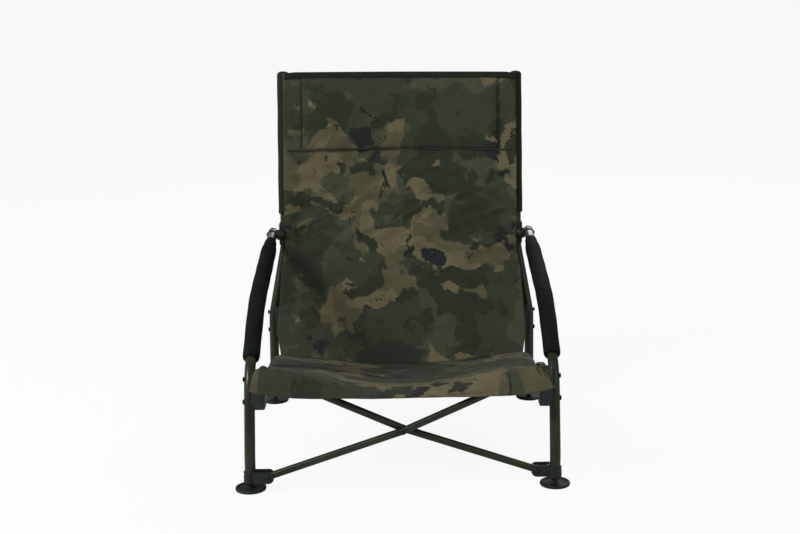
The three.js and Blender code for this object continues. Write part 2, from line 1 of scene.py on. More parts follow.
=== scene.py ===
"""Low folding fishing chair: its cloth, foam, painted tube and plastic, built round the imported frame.

The cloth pieces are surfaces worked out from the frame's own lines, the tubes are profiles carried along
bent paths, and the turned pieces are half outlines turned about an upright axis. Everything is in metres,
+Z up, and the sitter faces -Y.
"""

import logging
import math
from dataclasses import dataclass
from enum import Enum

import bmesh
import bpy
import numpy as np
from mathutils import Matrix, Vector


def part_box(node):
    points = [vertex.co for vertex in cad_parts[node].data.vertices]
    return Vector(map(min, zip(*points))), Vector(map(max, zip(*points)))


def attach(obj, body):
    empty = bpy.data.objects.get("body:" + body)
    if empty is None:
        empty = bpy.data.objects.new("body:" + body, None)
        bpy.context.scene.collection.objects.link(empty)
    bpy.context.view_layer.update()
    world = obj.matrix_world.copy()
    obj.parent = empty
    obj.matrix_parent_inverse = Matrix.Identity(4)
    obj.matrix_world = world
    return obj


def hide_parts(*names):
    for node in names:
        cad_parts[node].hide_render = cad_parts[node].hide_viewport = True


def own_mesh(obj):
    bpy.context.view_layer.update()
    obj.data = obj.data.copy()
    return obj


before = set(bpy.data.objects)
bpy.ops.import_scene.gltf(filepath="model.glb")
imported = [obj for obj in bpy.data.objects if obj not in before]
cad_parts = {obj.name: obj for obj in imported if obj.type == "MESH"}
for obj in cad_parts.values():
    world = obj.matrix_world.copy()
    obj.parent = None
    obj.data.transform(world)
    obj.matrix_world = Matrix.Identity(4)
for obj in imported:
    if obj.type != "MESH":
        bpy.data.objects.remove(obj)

log = logging.getLogger("fishing_chair")

Array = np.ndarray
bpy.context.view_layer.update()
DISC_RADIUS = 0.027
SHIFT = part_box("left_front_mud_foot")[0].y + DISC_RADIUS  # the front feet's line in the row frame
SIDEWAYS = np.array([1.0, 0.0, 0.0])
THREAD_PITCH = 0.00075
CLOTH_THICKNESS = 0.0016
ARC_STEPS = 14


class Side(Enum):
    """The two sides of the chair, each with its direction along X."""

    LEFT = -1
    RIGHT = 1

    @property
    def word(self) -> str:
        """The side's name as the pieces' names have it."""
        return self.name.lower()

    @property
    def frame(self) -> str:
        """The body that this side's tubes belong to."""
        return f"{self.word}_frame"

    @property
    def hangers(self) -> str:
        """The body that this side's seat hangers belong to."""
        return f"{self.word}_hangers"


class End(Enum):
    """Front and rear of the chair, each with its feet's distance behind the front feet."""

    FRONT = 0.0
    REAR = 0.5

    @property
    def word(self) -> str:
        """The end's name as the pieces' names have it."""
        return self.name.lower()


def linear(red: int, green: int, blue: int) -> tuple[float, float, float, float]:
    """The linear colour of a screen colour.

    Args:
        red: 0 to 255.
        green: 0 to 255.
        blue: 0 to 255.

    Returns:
        Linear red, green, blue and an alpha of 1.
    """
    share = np.array([red, green, blue]) / 255
    value = np.where(share <= 0.04045, share / 12.92, ((share + 0.055) / 1.055) ** 2.4)
    return (float(value[0]), float(value[1]), float(value[2]), 1.0)


# Surfaces


def unit(rows: Array) -> Array:
    """Each row divided by its length."""
    return rows / np.maximum(np.linalg.norm(rows, axis=-1, keepdims=True), 1e-12)


def make_mesh(name: str, points: Array, faces: list, uvs: Array | None = None) -> bpy.types.Object:
    """A smooth mesh object at the origin.

    Args:
        name: the piece's name.
        points: n x 3 places in metres.
        faces: index lists.
        uvs: n x 2 cloth places in metres, or None.

    Returns:
        The new object, linked to the scene.
    """
    mesh = bpy.data.meshes.new(name)
    mesh.from_pydata(points.tolist(), [], faces)
    if uvs is not None:
        layer = mesh.uv_layers.new(name="cloth")
        corners = np.zeros(len(mesh.loops), dtype=np.int64)
        mesh.loops.foreach_get("vertex_index", corners)
        layer.data.foreach_set("uv", uvs[corners].astype(np.float32).ravel())
    mesh.validate()
    mesh.shade_smooth()
    made = bpy.data.objects.new(name, mesh)
    bpy.context.scene.collection.objects.link(made)
    return made


def grid_faces(rows: int, columns: int, wrap_columns: bool = False) -> Array:
    """Quads of a grid of points stored row by row.

    Args:
        rows: rows of points.
        columns: points in a row.
        wrap_columns: whether the last column joins the first.

    Returns:
        m x 4 indices.
    """
    i, j = np.meshgrid(np.arange(rows - 1), np.arange(columns if wrap_columns else columns - 1),
                       indexing="ij")
    i, j = i.ravel(), j.ravel()
    below, beside = i + 1, (j + 1) % columns
    return np.stack([i * columns + j, i * columns + beside, below * columns + beside, below * columns + j], 1)


def face_outwards(made: bpy.types.Object) -> bpy.types.Object:
    """Turns a closed mesh's faces outwards, by the sign of its volume."""
    work = bmesh.new()
    work.from_mesh(made.data)
    bmesh.ops.remove_doubles(work, verts=work.verts, dist=1e-6)
    bmesh.ops.recalc_face_normals(work, faces=work.faces)
    if work.calc_volume(signed=True) < 0:
        bmesh.ops.reverse_faces(work, faces=work.faces)
    work.to_mesh(made.data)
    work.free()
    made.data.shade_smooth()
    return made


def bent_path(corners: Array, bends: tuple[float, ...], steps: int = ARC_STEPS) -> Array:
    """Points of a tube's centre line: straight runs, each corner rounded to its bend radius.

    The arc's centre lies on the corner's bisector, at the radius over the cosine of half the turn, and the
    arc's points are the first radius turned about it.

    Args:
        corners: n x 3 corners.
        bends: n - 2 bend radii.
        steps: steps in each arc.

    Returns:
        m x 3 points.
    """
    points = [corners[0]]
    for corner, before, after, radius in zip(corners[1:-1], corners[:-2], corners[2:], bends):
        into, out = unit(corner - before), unit(after - corner)
        turn = math.acos(float(np.clip(into @ out, -1, 1)))
        centre = corner + unit(out - into) * radius / math.cos(turn / 2)
        first = corner - into * radius * math.tan(turn / 2) - centre
        angles = np.linspace(0, turn, steps + 1)[:, None]
        points.extend(centre + first * np.cos(angles) + into * radius * np.sin(angles))
    points.append(corners[-1])
    return np.array(points)


def resample(path: Array, count: int) -> Array:
    """The path's points again, at even distances along it."""
    reach = np.concatenate([[0], np.cumsum(np.linalg.norm(np.diff(path, axis=0), axis=1))])
    places = np.linspace(0, reach[-1], count)
    return np.stack([np.interp(places, reach, path[:, k]) for k in range(3)], 1)


def part_of(path: Array, start: float, end: float, count: int) -> Array:
    """The stretch of a path between two shares of its length, at even distances."""
    fine = resample(path, 2001)
    low, high = int(round(start * 2000)), int(round(end * 2000))
    return resample(fine[low:high + 1], count)


def cross_directions(path: Array) -> tuple[Array, Array]:
    """Two directions square to a path, the first kept as near to X as it can be.

    Args:
        path: n x 3 points.

    Returns:
        Two n x 3 arrays: first and second cross direction.
    """
    along = unit(np.gradient(path, axis=0))
    first = unit(SIDEWAYS - (along @ SIDEWAYS)[:, None] * along)
    return first, np.cross(along, first)


def carried(name: str, path: Array, radii: Array, sides: int = 32) -> bpy.types.Object:
    """A round profile carried along a path, closed at both ends by shrinking rings.

    A point is the path's point plus the radius times the cosine along one cross direction and the sine
    along the other.

    Args:
        name: the piece's name.
        path: n x 3 centre line.
        radii: radius at each point, one value for all or n of them.
        sides: points round the profile.

    Returns:
        The closed mesh.
    """
    radii = np.broadcast_to(np.asarray(radii, float), (len(path),)).copy()
    path = np.concatenate([path[:1], path[:1], path, path[-1:], path[-1:]])
    radii = np.concatenate([[0, radii[0] * 0.9], radii, [radii[-1] * 0.9, 0]])
    spread = [np.concatenate([a[:1], a[:1], a, a[-1:], a[-1:]]) for a in cross_directions(path[2:-2])]
    angle = np.linspace(0, 2 * np.pi, sides, endpoint=False)
    ring = (spread[0][:, None] * np.cos(angle)[None, :, None]
            + spread[1][:, None] * np.sin(angle)[None, :, None])
    points = path[:, None] + ring * radii[:, None, None]
    faces = grid_faces(len(path), sides, wrap_columns=True)
    return face_outwards(make_mesh(name, points.reshape(-1, 3), faces.tolist()))


def turned(name: str, outline: Array, centre: tuple[float, float, float], axis: str = "Z",
           sides: int = 40) -> bpy.types.Object:
    """A half outline of (radius, height) turned about an axis through a point.

    Args:
        name: the piece's name.
        outline: n x 2 radii and heights, from axis to axis.
        centre: the axis's point at height 0.
        axis: X, Y or Z.
        sides: steps round.

    Returns:
        The closed mesh.
    """
    angle = np.linspace(0, 2 * np.pi, sides, endpoint=False)
    radius, height = np.asarray(outline, float).T
    round_a = radius[:, None] * np.cos(angle)
    round_b = radius[:, None] * np.sin(angle)
    up = np.repeat(height[:, None], sides, 1)
    order = {"X": (up, round_a, round_b), "Y": (round_b, up, round_a), "Z": (round_a, round_b, up)}[axis]
    points = np.stack(order, -1) + np.array(centre)
    faces = grid_faces(len(outline), sides, wrap_columns=True)
    return face_outwards(make_mesh(name, points.reshape(-1, 3), faces.tolist()))


def rounded_outline(points: Array, radius: float, steps: int = 4) -> Array:
    """A closed outline with its corners rounded by quadratic curves, each a radius long on either side.

    Args:
        points: n x 2 corners.
        radius: distance from a corner to where its curve starts.
        steps: steps in each curve.

    Returns:
        m x 2 points.
    """
    before, after = np.roll(points, 1, 0), np.roll(points, -1, 0)
    start = points + unit(before - points) * radius
    end = points + unit(after - points) * radius
    t = np.linspace(0, 1, steps + 1)[None, :, None]
    curve = start[:, None] * (1 - t) ** 2 + points[:, None] * 2 * t * (1 - t) + end[:, None] * t ** 2
    return curve.reshape(-1, 2)


def rounded_box(first: tuple[float, float], last: tuple[float, float], radius: float,
                steps: int = 4) -> Array:
    """The rounded outline of a rectangle between two opposite corners."""
    (a, b), (c, d) = first, last
    return rounded_outline(np.array([[a, b], [c, b], [c, d], [a, d]]), radius, steps)


def moulded(name: str, outline: Array, low: float, high: float, axis: str,
            bevel: float = 0.0012) -> bpy.types.Object:
    """A flat outline drawn out along an axis into a moulding with soft edges.

    Args:
        name: the piece's name.
        outline: n x 2 places across the axis, in X, Y, Z order.
        low: start along the axis.
        high: end along the axis.
        axis: X, Y or Z.
        bevel: how far its edges are rounded.

    Returns:
        The closed mesh with a Bevel modifier.
    """
    count = len(outline)
    middle = outline.mean(0)
    shrink = np.array([0.0, 1.0, 1.0, 0.0])
    rings = middle + (outline - middle)[None] * shrink[:, None, None]
    depth = np.array([low, low, high, high])[:, None].repeat(count, 1)
    a, b = rings[..., 0], rings[..., 1]
    order = {"X": (depth, a, b), "Y": (a, depth, b), "Z": (a, b, depth)}[axis]
    points = np.stack(order, -1)
    made = face_outwards(make_mesh(name, points.reshape(-1, 3),
                                   grid_faces(4, count, wrap_columns=True).tolist()))
    edge = made.modifiers.new("soft_edges", "BEVEL")
    edge.width, edge.segments, edge.limit_method, edge.angle_limit = bevel, 2, "ANGLE", math.radians(40)
    weighted = made.modifiers.new("even_shading", "WEIGHTED_NORMAL")
    weighted.keep_sharp = True
    return made


def joined(name: str, *parts: bpy.types.Object) -> bpy.types.Object:
    """Several meshes as one piece, each part's modifiers applied first."""
    graph = bpy.context.evaluated_depsgraph_get()
    places, faces, start = [], [], 0
    for part in parts:
        mesh = part.evaluated_get(graph).to_mesh()
        co = np.zeros(len(mesh.vertices) * 3, np.float32)
        mesh.vertices.foreach_get("co", co)
        places.append(co.reshape(-1, 3))
        faces.extend([[start + v for v in face.vertices] for face in mesh.polygons])
        start += len(mesh.vertices)
        part.evaluated_get(graph).to_mesh_clear()
    for part in parts:
        bpy.data.objects.remove(part)
    made = make_mesh(name, np.concatenate(places), faces)
    sharp = made.modifiers.new("even_shading", "WEIGHTED_NORMAL")
    sharp.keep_sharp = True
    return made


# Finishes


class Nodes:
    """Adds and joins the nodes of a material or of a shader group."""

    def __init__(self, tree: bpy.types.NodeTree) -> None:
        """Keeps the tree that the nodes go into."""
        self.tree = tree

    def add(self, kind: str, **settings: object) -> bpy.types.Node:
        """A new node of a kind.

        Args:
            kind: the node's type.
            settings: the node's properties by name.

        Returns:
            The node.
        """
        node = self.tree.nodes.new(kind)
        for key, value in settings.items():
            setattr(node, key, value)
        return node

    def link(self, source: object, target: object) -> None:
        """Joins an output to an input."""
        self.tree.links.new(source, target)

    def feed(self, target: bpy.types.NodeSocket, value: object) -> None:
        """Joins a socket to an output, or sets its own value."""
        if isinstance(value, bpy.types.NodeSocket):
            self.link(value, target)
        else:
            target.default_value = value

    def maths(self, operation: str, first: object, second: object = 0.0,
              third: object = 0.0) -> bpy.types.NodeSocket:
        """The outcome of one arithmetic operation."""
        node = self.add("ShaderNodeMath", operation=operation)
        for socket, value in zip(node.inputs, (first, second, third)):
            self.feed(socket, value)
        return node.outputs[0]

    def vector(self, operation: str, first: object, second: object) -> bpy.types.NodeSocket:
        """The vector outcome of one vector operation."""
        node = self.add("ShaderNodeVectorMath", operation=operation)
        self.feed(node.inputs[0], first)
        self.feed(node.inputs[1], second)
        return node.outputs[0]

    def scaled(self, vector: object, size: object) -> bpy.types.NodeSocket:
        """A vector times a number."""
        node = self.add("ShaderNodeVectorMath", operation="SCALE")
        self.feed(node.inputs[0], vector)
        self.feed(node.inputs["Scale"], size)
        return node.outputs[0]

    def noise(self, vector: object, scale: object, detail: float = 3.0, rough: float = 0.5,
              colour: bool = False) -> bpy.types.NodeSocket:
        """Noise at a vector, its value or its colour."""
        node = self.add("ShaderNodeTexNoise")
        self.feed(node.inputs["Vector"], vector)
        self.feed(node.inputs["Scale"], scale)
        node.inputs["Detail"].default_value = detail
        node.inputs["Roughness"].default_value = rough
        return node.outputs["Color" if colour else "Fac"]

    def ranged(self, value: object, low: float, high: float, start: float = 0.0,
               end: float = 1.0) -> bpy.types.NodeSocket:
        """A value carried from one range to another, smoothly and held at its ends."""
        node = self.add("ShaderNodeMapRange", interpolation_type="SMOOTHSTEP")
        for socket, item in zip(node.inputs, (value, low, high, start, end)):
            self.feed(socket, item)
        return node.outputs[0]

    def mixed(self, share: object, first: object, second: object) -> bpy.types.NodeSocket:
        """Two colours mixed by a share."""
        node = self.add("ShaderNodeMix", data_type="RGBA")
        self.feed(node.inputs[0], share)
        self.feed(node.inputs[6], first)
        self.feed(node.inputs[7], second)
        return node.outputs[2]


def new_group(name: str, inputs: dict[str, tuple[str, object]],
              outputs: dict[str, str]) -> tuple[bpy.types.NodeTree, Nodes, bpy.types.Node, bpy.types.Node]:
    """An empty shader group with named sockets.

    Args:
        name: the group's name.
        inputs: socket name to kind and starting value.
        outputs: socket name to kind.

    Returns:
        The group, its node maker, its input node and its output node.
    """
    tree = bpy.data.node_groups.new(name, "ShaderNodeTree")
    for word, (kind, value) in inputs.items():
        socket = tree.interface.new_socket(name=word, in_out="INPUT", socket_type=kind)
        if value is not None:
            socket.default_value = value
    for word, kind in outputs.items():
        tree.interface.new_socket(name=word, in_out="OUTPUT", socket_type=kind)
    nodes = Nodes(tree)
    return tree, nodes, nodes.add("NodeGroupInput"), nodes.add("NodeGroupOutput")


COLOUR, VALUE, VECTOR = "NodeSocketColor", "NodeSocketFloat", "NodeSocketVector"


@dataclass(frozen=True)
class CamouflagePrint:
    """The cloth's printed pattern: a ground, soft clouds, tan and dark patches, and flecks."""

    ground: tuple = linear(52, 56, 43)
    cloud: tuple = linear(62, 66, 50)
    tan: tuple = linear(96, 90, 67)
    tan_shade: tuple = linear(80, 77, 57)
    moss: tuple = linear(42, 47, 35)
    slate: tuple = linear(33, 35, 36)
    fleck: tuple = linear(112, 109, 88)

    def build(self) -> bpy.types.NodeTree:
        """The group: the place is warped twice, and each colour lies where its own noise is high."""
        tree, n, given, out = new_group("camouflage_print", {"Place": (VECTOR, None)}, {"Color": COLOUR})
        place = given.outputs["Place"]
        coarse = n.vector("SUBTRACT", n.noise(place, 9.0, 2.0, 0.5, colour=True), (0.5, 0.5, 0.5))
        fine = n.vector("SUBTRACT", n.noise(place, 70.0, 4.0, 0.65, colour=True), (0.5, 0.5, 0.5))
        warped = n.vector("ADD", n.vector("ADD", place, n.scaled(coarse, 0.09)), n.scaled(fine, 0.021))

        def patch(offset: tuple, scale: float, level: float, detail: float = 2.5) -> bpy.types.NodeSocket:
            """A mask of patches with narrow soft edges."""
            moved = n.vector("ADD", warped, offset)
            return n.ranged(n.noise(moved, scale, detail, 0.55), level, level + 0.012)

        colour = n.mixed(patch((3.1, 0.4, 0), 9.0, 0.53), self.ground, self.cloud)
        colour = n.mixed(patch((7.7, 2.9, 0), 7.5, 0.55), colour, self.moss)
        tan = patch((1.3, 5.2, 0), 6.0, 0.530, 3.0)
        shaded = n.mixed(patch((9.3, 1.2, 0), 11.0, 0.5), self.tan_shade, self.tan)
        colour = n.mixed(tan, colour, shaded)
        bite = patch((4.4, 8.1, 0), 16.0, 0.585, 4.0)
        colour = n.mixed(bite, colour, self.moss)
        slate = patch((6.1, 6.6, 0), 7.2, 0.628, 3.5)
        colour = n.mixed(slate, colour, self.slate)
        near = n.ranged(n.noise(n.vector("ADD", place, (2.0, 4.0, 0)), 7.0, 1.0), 0.42, 0.58)
        drops = n.ranged(n.noise(place, 150.0, 2.0, 0.7), 0.675, 0.70)
        flecks = n.maths("MULTIPLY", n.maths("MULTIPLY", near, drops), 0.75)
        colour = n.mixed(flecks, colour, self.fleck)
        n.link(colour, out.inputs["Color"])
        return tree


@dataclass(frozen=True)
class ClothWeave:
    """A plain weave's height: threads along and across, uneven by a slow noise."""

    thread: float = THREAD_PITCH

    def build(self) -> bpy.types.NodeTree:
        """The group: sines of both cloth directions, the larger wins, so threads cross over and under."""
        tree, n, given, out = new_group(
            "cloth_weave", {"Place": (VECTOR, None), "Threads": (VALUE, 1 / self.thread)},
            {"Height": VALUE, "Fuzz": VALUE})
        apart = n.add("ShaderNodeSeparateXYZ")
        n.link(given.outputs["Place"], apart.inputs[0])
        turns = n.maths("MULTIPLY", given.outputs["Threads"], math.pi)
        along = n.maths("SINE", n.maths("MULTIPLY", apart.outputs[0], turns))
        across = n.maths("SINE", n.maths("MULTIPLY", apart.outputs[1], turns))
        over = n.maths("MULTIPLY", n.maths("MULTIPLY", along, across), 0.5)
        slub = n.noise(given.outputs["Place"], 420.0, 3.0, 0.6)
        n.link(n.maths("ADD", over, slub), out.inputs["Height"])
        n.link(n.noise(given.outputs["Place"], 24.0, 5.0, 0.6), out.inputs["Fuzz"])
        return tree


@dataclass(frozen=True)
class SurfaceGrain:
    """Uneven surface: a slow variation for colour and roughness, a fine one for height."""

    def build(self) -> bpy.types.NodeTree:
        """The group: three noises, slow, middling and fine."""
        tree, n, given, out = new_group(
            "surface_grain",
            {"Place": (VECTOR, None), "Slow": (VALUE, 14.0), "Fine": (VALUE, 900.0)},
            {"Patches": VALUE, "Scuffs": VALUE, "Height": VALUE})
        n.link(n.noise(given.outputs["Place"], given.outputs["Slow"], 4.0, 0.6), out.inputs["Patches"])
        stretched = n.vector("MULTIPLY", given.outputs["Place"], (1.0, 1.0, 0.25))
        scuff = n.noise(stretched, n.maths("MULTIPLY", given.outputs["Slow"], 9.0), 6.0, 0.7)
        n.link(n.ranged(scuff, 0.60, 0.72), out.inputs["Scuffs"])
        n.link(n.noise(given.outputs["Place"], given.outputs["Fine"], 2.0, 0.5), out.inputs["Height"])
        return tree


@dataclass(frozen=True)
class FoamPores:
    """Closed-cell foam: rounded pores over a slow unevenness."""

    def build(self) -> bpy.types.NodeTree:
        """The group: distance to the nearest cell centre, and noise."""
        tree, n, given, out = new_group("foam_pores", {"Place": (VECTOR, None), "Cells": (VALUE, 900.0)},
                                        {"Height": VALUE, "Dust": VALUE})
        cells = n.add("ShaderNodeTexVoronoi")
        n.link(given.outputs["Place"], cells.inputs["Vector"])
        n.link(given.outputs["Cells"], cells.inputs["Scale"])
        uneven = n.noise(given.outputs["Place"], 120.0, 3.0)
        n.link(n.maths("ADD", cells.outputs["Distance"], uneven), out.inputs["Height"])
        n.link(n.noise(given.outputs["Place"], 30.0, 5.0, 0.65), out.inputs["Dust"])
        return tree


class Finishes:
    """All the chair's materials, each made once."""

    def __init__(self) -> None:
        """Builds the shared groups, then the materials."""
        self.print_group = CamouflagePrint().build()
        self.weave_group = ClothWeave().build()
        self.grain_group = SurfaceGrain().build()
        self.pores_group = FoamPores().build()
        self.cloth = self._cloth("camouflage_cloth", printed=True)
        # Dark green: the binding's own colour, and on the sleeves also painted shade of their curved sides.
        self.binding = self._cloth("green_binding", printed=False, tint=linear(22, 29, 20))
        self.thread = self._cloth("seam_thread", printed=False, tint=linear(36, 41, 31), thread=0.0012)
        self.strap = self._hard("woven_strap", linear(34, 39, 31), linear(44, 50, 39), 0.7, 0.85, 0.0003)
        self.tube = self._hard("olive_tube", linear(29, 37, 22), linear(42, 50, 31), 0.28, 0.45, 0.00006,
                               # Light grey metal for the arm's rear end: a painted highlight standing in for
                               # light on the olive tube's top.
                               metal=0.2)
        self.painted_highlight_tube = self._hard("painted_highlight_tube", linear(150, 152, 142), linear(120, 122, 112), 0.28, 0.42,
                                    0.00003, metal=0.9)
        self.block = self._hard("slate_plastic", linear(22, 30, 30), linear(32, 41, 40), 0.42, 0.58, 0.00012)
        self.plastic = self._hard("dark_plastic", linear(18, 24, 20), linear(27, 34, 28), 0.45, 0.62, 0.00012)
        self.rubber = self._hard("foot_rubber", linear(17, 23, 18), linear(27, 35, 27), 0.55, 0.75, 0.0002)
        self.rivet = self._hard("blackened_rivet", linear(24, 27, 24), linear(38, 41, 35), 0.3, 0.5, 0.00003,
                                metal=0.5)
        self.foam = self._foam()

    def _start(self, name: str) -> tuple[bpy.types.Material, Nodes, bpy.types.Node]:
        """A material with an empty Principled BSDF."""
        made = bpy.data.materials.new(name)
        made.use_nodes = True
        nodes = Nodes(made.node_tree)
        return made, nodes, made.node_tree.nodes["Principled BSDF"]

    def _group(self, n: Nodes, tree: bpy.types.NodeTree, place: object) -> bpy.types.Node:
        """A group's node, fed with the place."""
        node = n.add("ShaderNodeGroup", node_tree=tree)
        n.link(place, node.inputs["Place"])
        return node

    def _bump(self, n: Nodes, height: object, distance: float, strength: float,
              shader: bpy.types.Node) -> None:
        """Lets a height bend the shader's normal."""
        bump = n.add("ShaderNodeBump")
        bump.inputs["Distance"].default_value = distance
        bump.inputs["Strength"].default_value = strength
        n.link(height, bump.inputs["Height"])
        n.link(bump.outputs[0], shader.inputs["Normal"])

    def _cloth(self, name: str, printed: bool, tint: tuple = (0.0, 0.0, 0.0, 1.0),
               thread: float = THREAD_PITCH) -> bpy.types.Material:
        """Woven cloth, printed or dyed in one colour, read from the piece's own cloth map."""
        made, n, shader = self._start(name)
        place = n.add("ShaderNodeUVMap", uv_map="cloth").outputs[0]
        weave = self._group(n, self.weave_group, place)
        weave.inputs["Threads"].default_value = 1 / thread
        if printed:
            colour = self._group(n, self.print_group, place).outputs["Color"]
        else:
            colour = n.mixed(weave.outputs["Fuzz"], tint, tuple(min(1.0, 1.5 * c) for c in tint[:3]) + (1.0,))
        worn = n.ranged(weave.outputs["Fuzz"], 0.3, 0.75, 0.86, 1.12)
        shade = n.add("ShaderNodeHueSaturation")
        n.feed(shade.inputs["Value"], worn)
        n.link(colour, shade.inputs["Color"])
        n.link(shade.outputs[0], shader.inputs["Base Color"])
        n.link(n.ranged(weave.outputs["Fuzz"], 0.2, 0.8, 0.74, 0.9), shader.inputs["Roughness"])
        shader.inputs["Sheen Weight"].default_value = 0.03
        shader.inputs["Sheen Roughness"].default_value = 0.45
        shader.inputs["Specular IOR Level"].default_value = 0.16
        self._bump(n, weave.outputs["Height"], 0.00022, 0.5, shader)
        return made

    def _hard(self, name: str, first: tuple, second: tuple, smooth: float, rough: float, depth: float,
              metal: float = 0.0) -> bpy.types.Material:
        """Paint, metal, plastic or rubber: two near colours, uneven gloss and a fine grain."""
        made, n, shader = self._start(name)
        place = n.add("ShaderNodeTexCoord").outputs["Object"]
        grain = self._group(n, self.grain_group, place)
        colour = n.mixed(n.ranged(grain.outputs["Patches"], 0.3, 0.7), first, second)
        worn = tuple(min(1.0, 1.6 * c) for c in second[:3]) + (1.0,)
        n.link(n.mixed(n.maths("MULTIPLY", grain.outputs["Scuffs"], 0.35), colour, worn),
               shader.inputs["Base Color"])
        gloss = n.maths("ADD", grain.outputs["Patches"], n.maths("MULTIPLY", grain.outputs["Scuffs"], 0.4))
        n.link(n.ranged(gloss, 0.3, 0.9, smooth, rough), shader.inputs["Roughness"])
        shader.inputs["Metallic"].default_value = metal
        shader.inputs["Specular IOR Level"].default_value = 0.3
        self._bump(n, grain.outputs["Height"], depth, 0.6, shader)
        return made

    def _foam(self) -> bpy.types.Material:
        """Black foam with pores and a little pale dust."""
        made, n, shader = self._start("black_foam")
        place = n.add("ShaderNodeTexCoord").outputs["Object"]
        pores = self._group(n, self.pores_group, place)
        n.link(n.mixed(n.ranged(pores.outputs["Dust"], 0.35, 0.75), linear(9, 13, 11), linear(21, 27, 25)),
               shader.inputs["Base Color"])
        n.link(n.ranged(pores.outputs["Dust"], 0.3, 0.8, 0.72, 0.9), shader.inputs["Roughness"])
        shader.inputs["Specular IOR Level"].default_value = 0.1
        self._bump(n, pores.outputs["Height"], 0.0005, 0.7, shader)
        return made


def refinish(node: str, finish: bpy.types.Material) -> None:
    """Gives a CAD node that stays in view its material."""
    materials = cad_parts[node].data.materials
    materials.clear()
    materials.append(finish)


def dress(piece: bpy.types.Object, finish: bpy.types.Material, body: str, slot: str,
          *nodes: str) -> bpy.types.Object:
    """Gives a piece its finish and its body, and hides the nodes that it stands for.

    Args:
        piece: the mesh.
        finish: its material.
        body: the body that it moves with.
        slot: not used.
        nodes: CAD nodes that it stands for.

    Returns:
        The piece.
    """
    if not piece.data.materials:
        piece.data.materials.append(finish)
    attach(piece, body)
    if nodes:
        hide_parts(*nodes)
    log.info("%s rides on %s", piece.name, body)
    return piece


# The tube frame


def place(x: float, y: float, z: float) -> Array:
    """A point given by its distance behind the front feet."""
    return np.array([x, y + SHIFT, z])


